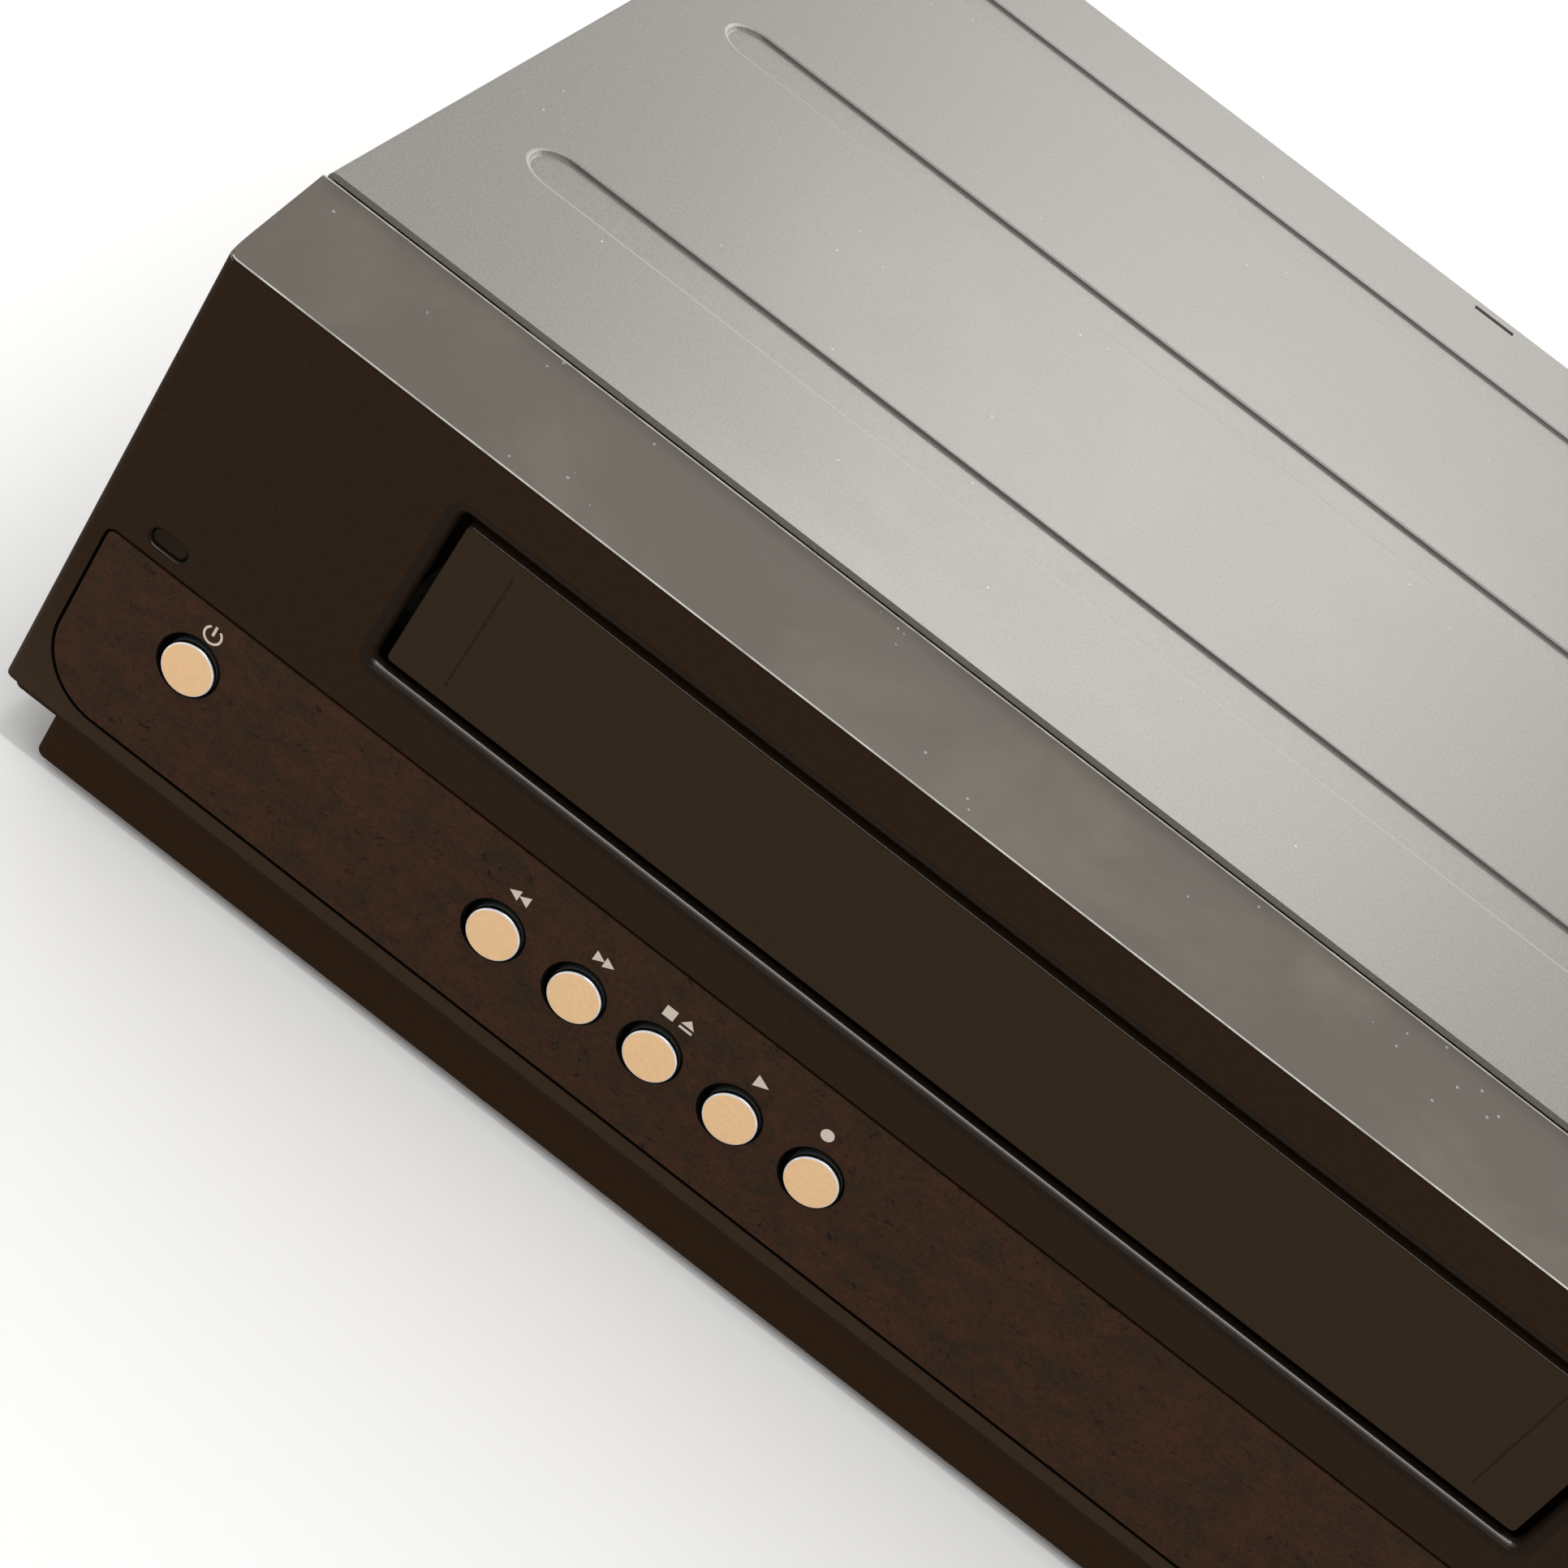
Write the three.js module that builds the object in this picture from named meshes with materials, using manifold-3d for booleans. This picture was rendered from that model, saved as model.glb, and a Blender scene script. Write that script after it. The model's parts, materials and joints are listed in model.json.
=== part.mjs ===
// A VHS video cassette recorder, built as an assembly of its separate pieces.
// Millimetres. X runs right, Y runs back from the front face, Z runs up from the floor.

import * as THREE from 'three';
import { mergeVertices } from 'three/addons/utils/BufferGeometryUtils.js';
import Module from 'manifold-3d';

// Overall machine
const machine = { width: 435, depth: 250, height: 99.5 };

// Running gap between pieces that touch on the real machine, and the overrun of every cut
const gap = 0.3;
const overrun = 1;

// Round forms: how many flats a circle gets
const finePegSides = 6;
const pegSides = 8;
const wheelSides = 12;
const drumSides = 20;
const cornerSteps = 2;
const broadCornerSteps = 3;

// Steel cover: a U-shaped sheet with pressed beads and a folded rear lip
const cover = {
  front: 22.3, sheet: 1, inset: 0.5, skirtBottom: 8, rearLip: 11,
  beadShares: [0.248, 0.556, 0.86], beadWidth: 12, beadDepth: 0.9, beadSlope: 0.9, beadEnd: 13,
  slotCentre: 148.2, slotLength: 9, slotWidth: 1.6, slotFromRear: 4.4,
  ventCount: 9, ventPitch: 9, ventWidth: 2.4, ventLow: 39.5, ventHigh: 15.5, ventFromRear: 100,
};

// Bottom pan: a steel tray with upturned sides, board stands and deck pillars
const pan = {
  underside: 6, sheet: 1, front: 6, fromRear: 3.5, sideTop: 30, sideGap: 0.5,
  standRadius: 3, pillarRadius: 4, bossTaper: 1,
  ventCount: 12, ventPitch: 7, ventWidth: 2.5, ventLength: 40, ventFromRight: 145, ventFront: 90,
};

// Feet: moulded rubber pads
const foot = { radius: 9, neckRadius: 7.5, soleHeight: 3.2, inset: 38, front: 34, fromRear: 38, dish: 0.6 };

// Front panel: face, sloped band above it, side wings, and the recessed strip below
const face = {
  bottom: 11.8, topDrop: 6.8, wall: 2.4, cornerRadius: 1.6,
  bandDepth: 22, bandDrop: 1.1,
  plinthInset: 9.8, plinthRecess: 3, plinthBottom: 2.1, plinthRadius: 1.4,
};

// Cassette door and the soft-edged opening round it
const door = {
  left: 46.2, width: 194.4, bottom: 56.2, height: 25.9, thickness: 2.5, recess: 1, cornerRadius: 0.6,
  sideGap: 1.5, bottomGap: 1, topGap: 1.2, softEdge: 1.2, openingRadius: 1.4,
  axisHeight: 86, axisDepth: 4.5, pinRadius: 1, bossRadius: 1.8, armInset: 6.7, armWidth: 2.5, armDrop: 6,
  armDepth: 3.2, armNoseShare: 0.9, earWidth: 2.4, earHeight: 7,
  grooveInset: 9, grooveWidth: 0.5, grooveDepth: 0.35, grooveMargin: 2.6,
};
const doorSpring = { wireRadius: 0.22, meanRadius: 1.5, turns: 4, pitch: 1.1, stepsPerTurn: 8, wireSides: 4 };

// Trim insert let into the lower face
const insert = {
  inset: 3.3, bottom: 15.4, top: 44.9, cornerRadius: 11, topRadius: 0.8, thickness: 0.8, pocket: 1.1,
  joint: 0.35,
};

// Push buttons: the places and heights are read from the front face
const button = {
  radius: 4.15, holeRadius: 4.6, holeFlare: 0.35, standProud: 1.5, edge: 0.3, collarRadius: 5.6,
  collarThickness: 0.8,
  stemRadius: 2.2, travel: 0.8, powerHeight: 34.6, rowHeight: 30.7,
  channelDownFromRight: 137.1, channelUpFromRight: 122.6,
};
const buttonPlaces = {
  power_button: { x: 23.5, z: button.powerHeight },
  rewind_button: { x: 80.3, z: button.rowHeight },
  fast_forward_button: { x: 94.8, z: button.rowHeight },
  stop_eject_button: { x: 108.3, z: button.rowHeight },
  play_button: { x: 122.6, z: button.rowHeight },
  record_button: { x: 137.1, z: button.rowHeight },
  channel_down_button: { x: machine.width - button.channelDownFromRight, z: button.rowHeight },
  channel_up_button: { x: machine.width - button.channelUpFromRight, z: button.rowHeight },
};

// Lamp window, display window, display tube, key board and front jacks
const lamp = { x: 12.3, z: 49, length: 6.2, height: 3, recess: 0.7, lip: 0.5, barWidth: 2.4 };
const screen = {
  fromDoor: 25.4, fromRight: 35, bottom: 55.2, height: 27.9, joint: 0.3, flange: 2, flangeThickness: 1,
  sink: 0.15,
};
const tube = {
  inset: 18, depth: 5, height: 17, boardThickness: 1.6, boardMargin: 4, behindWindow: 1.5, pipRadius: 1.6,
};
const keyBoard = {
  left: 9, fromRight: 113, bottom: 21, top: 51.5, rightTop: 41.5, lampReach: 30,
  front: 9, thickness: 1.6, switchSize: 6, switchHeight: 2.5,
};
const jack = {
  fromRight: [51, 36, 21], height: 30.7, barrelRadius: 4.1, boreRadius: 1.6, boreDepth: 7, holeRadius: 5.3,
  bodyFront: 7, bodyDepth: 13, bodyHeight: 18, bodyMargin: 7, front: 0.2, collarRadius: 5.6,
  collarThickness: 1,
};

// Rear panel and what shows through it
const rear = {
  fromRear: 2.8, sheet: 1, side: 2.4, bottom: 7.4, topDrop: 1.5, cutMargin: 0.4,
  ventCount: 14, ventPitch: 8, ventWidth: 2.6, ventLow: 47.5, ventHigh: 19.5, ventLeft: 60,
};
const tuner = {
  width: 30, fromRear: 54, bottom: 13.9, height: 62, socketRadius: 4.7, socketReach: 9.6, hexSides: 6,
  hexRadius: 6.4, hexDepth: 2.4, lowSocket: 28, highSocket: 58, boreRadius: 2.6, boreDepth: 6, lidLip: 0.8,
};
const rearJacks = {
  columns: 2, rows: 3, pitchX: 15, pitchZ: 16, margin: 8, bottom: 14.2, fromRear: 14, reach: 5.4,
  barrelRadius: 4.1, boreRadius: 1.6, boreDepth: 8, collarRadius: 5.6, collarReach: 1.6,
};
const inlet = {
  centreZ: 30, width: 21, height: 15, bottom: 14.2, fromRear: 18, reach: 3.6, flange: 2.4, flangeReach: 1.4,
  cavityWidth: 14.6, cavityHeight: 7.6, cavityDepth: 13, pinRadius: 1.2, pinPitch: 8.6, pinLength: 6.5,
};

// Main board and the tall parts on it
const board = {
  left: 12, fromRight: 12, front: 30, fromRear: 8, bottom: 12, thickness: 1.6, hole: 1, notchDepth: 18,
};
const transformer = {
  fromRight: 90, front: 150, width: 42, depth: 36, height: 30, coreThickness: 12, coreRise: 5,
  flangeThickness: 2, leg: 2,
};
const capacitor = {
  fromRight: 63, y: 118, radius: 12.5, height: 34, grooveRadius: 11.9, grooveHeight: 3, rim: 0.9, dish: 1,
};
const sink = {
  fromRight: 37, front: 112, finCount: 7, finPitch: 5, finThickness: 1.4, depth: 24, height: 46, web: 3,
};

// Tape deck, placed from the middle of the cassette
const deck = {
  centreX: door.left + door.width / 2, halfWidth: 110, front: 52, rear: 236, bottom: 25, plate: 1.3,
  skirtDepth: 7, pillarX: 101, pillarFront: 60, pillarRear: 229, cornerCut: 12,
};
const reel = {
  spacing: 92.1, y: 97, gearRadius: 22, gearHeight: 3.4, teeth: 28, tooth: 1, tableRadius: 14, tableTop: 32.4,
  spindleRadius: 4.6, spindleTop: 47, finCount: 3, finReach: 2.6, finWidth: 1.6, shaftRadius: 1.4,
  shaftTop: 49,
};
const clutch = {
  y: 112, radius: 8, teeth: 16, tooth: 0.9, height: 3.4, shaftRadius: 1.6,
  pulleyRadius: 12, pulleyBottom: 15.6, pulleyHeight: 4, pulleyRim: 0.8, capHeight: 2,
};
const idler = {
  radius: 10, teeth: 20, tooth: 0.9, armThickness: 1.4, armWidth: 7, postRadius: 1.3, meshGap: 0.35,
};
const capstan = {
  x: 74, y: 162, radius: 1.5, top: 57, flywheelRadius: 24, flywheelBottom: 20, flywheelTop: 24.2, rimWidth: 5,
  rimDrop: 1, pulleyRadius: 6, pulleyBottom: 15.6, housingRadius: 5.5, flangeRadius: 10.5, flangeThickness: 2,
  housingTop: 37, spokeCount: 6, holeRadius: 3.2, holeOrbit: 12,
};
const belt = { thickness: 1, height: 2.2, slack: 0.3 };
const pinch = {
  x: 60, y: 140, radius: 5.5, bottom: 37.4, height: 15, corePin: 1, armBottom: 33, armThickness: 2,
  armWidth: 5,
  pivotX: 85.1, pivotY: 136.2, pivotRadius: 3, pinRadius: 1.4, pinTop: 37, postTop: 54, hubRadius: 2.4,
};
const drum = {
  y: 194, radius: 31, tilt: 5.96, lowerHeight: 13, upperHeight: 16, base: 3, baseHalf: 25, baseFront: 27,
  baseRear: 35,
  pivotHeight: 46.6, baseRadius: 8, hubRadius: 12, hubHeight: 3, capStep: 1.4, windowCount: 3,
  windowWidth: 7, windowDepth: 5,
  windowHeight: 3, recessRadius: 24, recessDepth: 2.4, holeCount: 6, holeRadius: 2, ledge: 0.5,
  ledgeHeight: 2,
};
const guide = {
  pivotY: 169, orbit: 50, startAngle: 45, slotSlack: 4, slotHalf: 3, shoeLength: 11, shoeWidth: 8,
  shoeThickness: 3,
  pegRadius: 2.6, pegBottom: 24.6, rollerRadius: 3, rollerBottom: 36, rollerTop: 52,
  flangeRadius: 3.7, flangeHeight: 1.2, slantRadius: 1.2, slantTop: 53, slantOffset: 5, slantLean: 9,
  postRadius: 1.6,
};
const loader = {
  gearX: -74, gearY: 208, toothModule: 1.2, gearTeeth: 30, pinionTeeth: 10, bottom: 27, thickness: 4, hub: 4,
  hubHeight: 6, shaftRadius: 1.5, motorRadius: 9.5, motorBottom: 36, motorHeight: 25,
  motorFlat: 7.6, bracketThickness: 1.4, bracketHalf: 7, footLength: 7, capRadius: 4, capHeight: 1.4,
  camWidth: 3, camDepth: 1.6, camOrbit: 10.5, pinionTop: 34.5,
};
const audioHead = {
  x: 64, y: 186, width: 9, depth: 8, bottom: 37, height: 16, plate: 1.4, postRadius: 2.2, base: 13,
};
const eraseHead = {
  x: -67, y: 159, width: 10, depth: 6, bottom: 37, height: 15, plate: 1.4, postRadius: 2.2, base: 13,
};
const tension = {
  pivotX: -84, pivotY: 146, reachX: 26, reachY: -14, armBottom: 33, armThickness: 1.6, armWidth: 4.5,
  pivotRadius: 3.2,
  pinRadius: 1.4, pinTop: 36, postRadius: 1.8, postTop: 52,
};

// Front loading: side brackets, the carriage that slides in them, and the cassette holder that drops in it
const cassette = { width: 188, height: 25, bottom: 56.6, play: 0.5 };
const holder = {
  wall: 1.2, floorDrop: 0.2, railWidth: 4.5, front: 14, wallFront: 37, rear: 94, roof: 0.2, roofFront: 42,
  roofRear: 80,
  pinRadius: 1.5, pinHeight: 70, pinFront: 60, pinRear: 80, drop: 25, windowWidth: 50, windowDepth: 18,
  springWidth: 7,
  stopWidth: 6, pinReach: 2.7, windowShift: 48,
};
const carriage = {
  sheet: 1.2, sideGap: 0.9, front: 52, rear: 88, top: 88.2, sideBottom: 38, pinHeight: 80, pinFront: 58,
  pinRear: 83,
  pinRadius: 1.5, pinReach: 3.8, travel: 60, windowWidth: 60, windowDepth: 16, crossRear: 84,
};
const bracket = {
  sheet: 1.2, sideGap: 1.2, front: 23, rear: 166, topDrop: 6.5, foot: 8, windowBottom: 40, windowTop: 68,
};

// Derived places that several pieces share
const deckTop = deck.bottom + deck.plate;
const deckSeat = deckTop + gap;
const boardTop = board.bottom + board.thickness;
const doorTop = door.bottom + door.height;
const doorRight = door.left + door.width;
const doorBack = door.recess + door.thickness;
const holderInner = cassette.width / 2 + cassette.play;
const holderOuter = holderInner + holder.wall;
const carriageInner = holderOuter + carriage.sideGap;
const carriageOuter = carriageInner + carriage.sheet;
const bracketInner = carriageOuter + bracket.sideGap;
const bracketOuter = bracketInner + bracket.sheet;
const panTop = pan.underside + pan.sheet;
const panRear = machine.depth - pan.fromRear;
const beadCentres = cover.beadShares.map((share) => share * machine.depth);
const footRear = machine.depth - foot.fromRear;
const faceTop = machine.height - face.topDrop;
const bandTop = machine.height - face.bandDrop;
const screenLeft = doorRight + screen.fromDoor;
const screenWidth = machine.width - screen.fromRight - screenLeft;
const keyBoardRight = machine.width - keyBoard.fromRight;
const jackPlaces = jack.fromRight.map((distance) => machine.width - distance);
const boardRight = machine.width - board.fromRight;
const boardRear = machine.depth - board.fromRear;
const bracketTop = machine.height - bracket.topDrop;
const transformerLeft = machine.width - transformer.fromRight;
const sinkX = machine.width - sink.fromRight;
const tunerFront = machine.depth - tuner.fromRear;
const inletFront = machine.depth - inlet.fromRear;
const coverInner = cover.inset + cover.sheet;
const rearFront = machine.depth - rear.fromRear;
const rearFace = rearFront + rear.sheet;
const rearTop = machine.height - rear.topDrop;

// The tuner, the jack block and the mains inlet share out the width that the deck leaves free
const rearGapShares = { tuner: 0.3312, jacks: 0.1732, inlet: 0.3041 };
const deckRight = deck.centreX + deck.halfWidth;
const jackSpan = (rearJacks.columns - 1) * rearJacks.pitchX + 2 * rearJacks.margin;
const inletSpan = inlet.width + 2 * inlet.flange;
const rearFree = machine.width - rear.side - deckRight - tuner.width - jackSpan - inletSpan;
const tunerLeft = deckRight + rearFree * rearGapShares.tuner;
const jacksLeft = tunerLeft + tuner.width + rearFree * rearGapShares.jacks;
const inletX = jacksLeft + jackSpan + rearFree * rearGapShares.inlet + inletSpan / 2;
const radians = Math.PI / 180;

const wasm = await Module();
wasm.setup();

// A closed geometry as a solid that can be joined and cut
function solid(geometry) {
  const bare = geometry.index ? geometry.toNonIndexed() : geometry.clone();
  bare.deleteAttribute('normal');
  bare.deleteAttribute('uv');
  const merged = mergeVertices(bare, 1e-4);
  const mesh = new wasm.Mesh({
    numProp: 3,
    vertProperties: merged.attributes.position.array,
    triVerts: new Uint32Array(merged.index.array),
  });
  return new wasm.Manifold(mesh);
}

function join(solids) {
  return solids.reduce((sum, next) => sum.add(next));
}

function cut(body, tools) {
  return tools.reduce((rest, tool) => rest.subtract(tool), body);
}

// A straight-sided block between two values on each axis
function block(x, y, z) {
  const geometry = new THREE.BoxGeometry(x[1] - x[0], y[1] - y[0], z[1] - z[0]);
  geometry.translate((x[0] + x[1]) / 2, (y[0] + y[1]) / 2, (z[0] + z[1]) / 2);
  return solid(geometry);
}

// Round bars along each axis
function barZ(x, y, z, radius, sides = pegSides) {
  const geometry = new THREE.CylinderGeometry(radius, radius, z[1] - z[0], sides);
  geometry.rotateX(Math.PI / 2).translate(x, y, (z[0] + z[1]) / 2);
  return solid(geometry);
}

function barY(x, y, z, radius, sides = pegSides) {
  const geometry = new THREE.CylinderGeometry(radius, radius, y[1] - y[0], sides);
  geometry.translate(x, (y[0] + y[1]) / 2, z);
  return solid(geometry);
}

function barX(x, y, z, radius, sides = pegSides) {
  const geometry = new THREE.CylinderGeometry(radius, radius, x[1] - x[0], sides);
  geometry.rotateZ(Math.PI / 2).translate((x[0] + x[1]) / 2, y, z);
  return solid(geometry);
}

// A turned form: the profile holds [radius, height] pairs
function turned(profile, x, y, sides = pegSides) {
  const points = profile.map(([radius, height]) => new THREE.Vector2(radius, height));
  const geometry = new THREE.LatheGeometry(points, sides);
  geometry.rotateX(Math.PI / 2).translate(x, y, 0);
  return solid(geometry);
}

// A flat outline in the XY plane, raised over the given heights
function plateZ(outline, z) {
  const shape = new THREE.Shape(outline.map(([x, y]) => new THREE.Vector2(x, y)));
  const geometry = new THREE.ExtrudeGeometry(shape, { depth: z[1] - z[0], bevelEnabled: false });
  geometry.translate(0, 0, z[0]);
  return solid(geometry);
}

// A flat outline of [x, z] pairs, run back over the given depths
function plateY(outline, y) {
  const shape = new THREE.Shape(outline.map(([x, z]) => new THREE.Vector2(x, z)));
  const geometry = new THREE.ExtrudeGeometry(shape, { depth: y[1] - y[0], bevelEnabled: false });
  geometry.rotateX(Math.PI / 2).translate(0, y[1], 0);
  return solid(geometry);
}

// A flat outline of [y, z] pairs, run across over the given widths
function plateX(outline, x) {
  const shape = new THREE.Shape(outline.map(([y, z]) => new THREE.Vector2(y, z)));
  const geometry = new THREE.ExtrudeGeometry(shape, { depth: x[1] - x[0], bevelEnabled: false });
  const axes = new THREE.Matrix4().set(0, 0, 1, x[0], 1, 0, 0, 0, 0, 1, 0, 0, 0, 0, 0, 1);
  geometry.applyMatrix4(axes);
  return solid(geometry);
}

// The corner points of a rectangle whose four corners have their own radii
function roundedOutline(low, high, radii, steps = cornerSteps) {
  const corners = [
    [low[0], low[1], 1, 1, 180],
    [high[0], low[1], -1, 1, 270],
    [high[0], high[1], -1, -1, 0],
    [low[0], high[1], 1, -1, 90],
  ];
  const points = [];
  corners.forEach(([x, y, towardX, towardY, start], corner) => {
    const radius = radii[corner];
    for (let step = 0; step <= steps; step++) {
      const angle = (start + 90 * step / steps) * radians;
      points.push([
        x + towardX * radius + radius * Math.cos(angle),
        y + towardY * radius + radius * Math.sin(angle),
      ]);
    }
  });
  return points;
}

// A closed skin through rings of [x, y, z] points, each ring with as many points as the last
function skin(rings) {
  const count = rings[0].length;
  const positions = rings.flat(2);
  const index = [];
  for (let level = 0; level < rings.length - 1; level++) {
    for (let i = 0; i < count; i++) {
      const next = (i + 1) % count;
      const a = level * count + i;
      const b = level * count + next;
      index.push(a, b, b + count, a, b + count, a + count);
    }
  }
  const last = (rings.length - 1) * count;
  for (let i = 1; i < count - 1; i++) {
    index.push(0, i + 1, i);
    index.push(last, last + i, last + i + 1);
  }
  const geometry = new THREE.BufferGeometry();
  geometry.setAttribute('position', new THREE.Float32BufferAttribute(positions, 3));
  geometry.setIndex(index);
  return solid(geometry);
}

// A rounded hole cutter whose front edge flares out softly, run back from the face
function flaredOpening(low, high, radius, flare, depth) {
  const levelShares = [0, 0.5, 1];
  const ring = (grow, y) => roundedOutline(
    [low[0] - grow, low[1] - grow],
    [high[0] + grow, high[1] + grow],
    [radius + grow, radius + grow, radius + grow, radius + grow],
  ).map(([x, z]) => [x, y, z]);
  const rings = [ring(flare, -overrun)];
  levelShares.forEach((share) => {
    const turn = share * Math.PI / 2;
    rings.push(ring(flare * (1 - Math.sin(turn)), flare * (1 - Math.cos(turn))));
  });
  rings.push(ring(0, depth + overrun));
  return skin(rings.map((points) => points.slice().reverse()));
}

// A gear blank with straight-sided teeth: the outline runs round the pitch circle
function gearOutline(teeth, pitchRadius, tooth, x, y, phase = 0) {
  const widthShares = [[-0.30, -1], [-0.13, 1], [0.13, 1], [0.30, -1]];
  const points = [];
  for (let i = 0; i < teeth; i++) {
    widthShares.forEach(([share, side]) => {
      const angle = 2 * Math.PI * (i + share) / teeth + phase;
      const radius = pitchRadius + side * tooth;
      points.push([x + radius * Math.cos(angle), y + radius * Math.sin(angle)]);
    });
  }
  return points;
}

// A round-ended slot or bar between two points, as an outline
function stadium(from, to, halfWidth, steps = cornerSteps) {
  const heading = Math.atan2(to[1] - from[1], to[0] - from[0]);
  const points = [];
  [[to, -90], [from, 90]].forEach(([centre, start]) => {
    for (let step = 0; step <= 2 * steps; step++) {
      const angle = heading + (start + 90 * step / steps) * radians;
      points.push([centre[0] + halfWidth * Math.cos(angle), centre[1] + halfWidth * Math.sin(angle)]);
    }
  });
  return points;
}

const recorder = new THREE.Group();
const finishes = {
  coverPaint: { color: 0xa8a198, roughness: 0.45, metalness: 0.55 },
  zincSteel: { color: 0xa9adb0, roughness: 0.4, metalness: 0.9 },
  bezelPlastic: { color: 0x2c2219, roughness: 0.6, metalness: 0 },
  mottledTrim: { color: 0x35231b, roughness: 0.55, metalness: 0 },
  goldButton: { color: 0xe0bb88, roughness: 0.35, metalness: 0.3 },
  blackPlastic: { color: 0x17181a, roughness: 0.5, metalness: 0 },
  smokedWindow: { color: 0x0d0d10, roughness: 0.1, metalness: 0 },
  displayGlass: { color: 0x28443f, roughness: 0.1, metalness: 0 },
  rubber: { color: 0x1c1b1a, roughness: 0.9, metalness: 0 },
  circuitBoard: { color: 0x5b4a22, roughness: 0.6, metalness: 0 },
  brightSteel: { color: 0xc9ccd0, roughness: 0.2, metalness: 1 },
  castAluminium: { color: 0xb4b7ba, roughness: 0.35, metalness: 0.9 },
  whiteResin: { color: 0xdcd8cc, roughness: 0.5, metalness: 0 },
  capacitorSleeve: { color: 0x1d2a4a, roughness: 0.4, metalness: 0 },
  transformerTape: { color: 0xc9a227, roughness: 0.5, metalness: 0 },
};

function add(name, body, finish) {
  const made = body.getMesh();
  const geometry = new THREE.BufferGeometry();
  geometry.setAttribute('position', new THREE.Float32BufferAttribute(made.vertProperties, 3));
  geometry.setIndex(Array.from(made.triVerts));
  const shaded = geometry.toNonIndexed();
  shaded.computeVertexNormals();
  const mesh = new THREE.Mesh(shaded, new THREE.MeshStandardMaterial(finishes[finish]));
  mesh.name = name;
  recorder.add(mesh);
}

// Casing

function beadLoft(centre, drop, grow) {
  const halfWidth = cover.beadWidth / 2;
  const from = [cover.beadEnd + halfWidth, centre];
  const to = [machine.width - cover.beadEnd - halfWidth, centre];
  const floor = machine.height - drop - cover.beadDepth;
  const floorRing = stadium(from, to, halfWidth - cover.beadSlope + grow, broadCornerSteps);
  const topRing = stadium(from, to, halfWidth + grow, broadCornerSteps);
  const top = machine.height - drop;
  return { floorRing, topRing, floor, top };
}

function topCover() {
  const left = cover.inset;
  const right = machine.width - cover.inset;
  const outer = block([left, right], [cover.front, machine.depth], [cover.skirtBottom, machine.height]);
  const inner = block(
    [left + cover.sheet, right - cover.sheet],
    [cover.front - overrun, machine.depth - cover.sheet],
    [cover.skirtBottom - overrun, machine.height - cover.sheet],
  );
  const belowLip = block(
    [left + cover.sheet, right - cover.sheet],
    [machine.depth - cover.sheet - overrun, machine.depth + overrun],
    [cover.skirtBottom - overrun, machine.height - cover.rearLip],
  );
  let body = cut(outer, [inner, belowLip]);
  beadCentres.forEach((centre) => {
    const under = beadLoft(centre, cover.sheet, cover.sheet / 2);
    const level = (ring, z) => ring.map(([x, y]) => [x, y, z]);
    const joined = under.top + cover.sheet / 2;
    body = body.add(skin([level(under.floorRing, under.floor), level(under.topRing, joined)]));
  });
  beadCentres.forEach((centre) => {
    const over = beadLoft(centre, 0, 0);
    const level = (ring, z) => ring.map(([x, y]) => [x, y, z]);
    const above = over.top + overrun;
    const rings = [level(over.floorRing, over.floor), level(over.topRing, over.top), level(
      over.topRing,
      above,
    )];
    body = body.subtract(skin(rings));
  });
  const slotRow = machine.depth - cover.slotFromRear;
  [cover.slotCentre, machine.width - cover.slotCentre].forEach((x) => {
    const across = [x - cover.slotLength / 2, x + cover.slotLength / 2];
    const along = [slotRow - cover.slotWidth / 2, slotRow + cover.slotWidth / 2];
    body = body.subtract(block(across, along, [machine.height - 2 * cover.sheet, machine.height + overrun]));
  });
  const ventRows = [machine.height - cover.ventLow, machine.height - cover.ventHigh];
  for (let i = 0; i < cover.ventCount; i++) {
    const y = machine.depth - cover.ventFromRear + i * cover.ventPitch;
    const along = [y - cover.ventWidth / 2, y + cover.ventWidth / 2];
    body = body.subtract(block([0, machine.width], along, ventRows));
  }
  rearScrewShares.forEach((share) => {
    const through = [rearFace, machine.depth + overrun];
    body = body.subtract(barY(
      rearScrewX(share),
      through,
      rearScrewHeight,
      screwPlaces.holeRadius,
      finePegSides,
    ));
  });
  return body.subtract(screwHoleX([0, machine.width]));
}

const screwSize = {
  headRadius: 3.4, crownRadius: 2.55, headHeight: 1.6, shankRadius: 1.5, shankLength: 5, slotWidth: 0.8,
  slotDepth: 0.7,
};
const screwPlaces = { sideY: 120, sideZ: 21, rearLow: 0.16, rearHigh: 0.86, rearDrop: 6.9, holeRadius: 1.8 };
const rearScrewShares = [screwPlaces.rearLow, screwPlaces.rearHigh];
const rearScrewHeight = machine.height - screwPlaces.rearDrop;

// A pan-head screw with a cross slot: built along X at the origin, head at zero and pointing to minus X
function screwProfileSolid(place) {
  const head = new THREE.CylinderGeometry(
    screwSize.crownRadius, screwSize.headRadius, screwSize.headHeight, finePegSides,
  );
  head.translate(0, screwSize.headHeight / 2, 0);
  const shank = new THREE.CylinderGeometry(
    screwSize.shankRadius, screwSize.shankRadius, screwSize.shankLength + screwSize.headHeight / 2,
    finePegSides,
  );
  shank.translate(0, -screwSize.shankLength / 2 + screwSize.headHeight / 4, 0);
  const slots = [0, Math.PI / 2].map((turn) => {
    const slot = new THREE.BoxGeometry(screwSize.headRadius, screwSize.slotDepth * 2, screwSize.slotWidth);
    slot.translate(0, screwSize.headHeight, 0).rotateY(turn);
    return slot;
  });
  const placed = [head, shank, ...slots].map((geometry) => solid(geometry.applyMatrix4(place)));
  return cut(placed[0].add(placed[1]), placed.slice(2));
}

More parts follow.
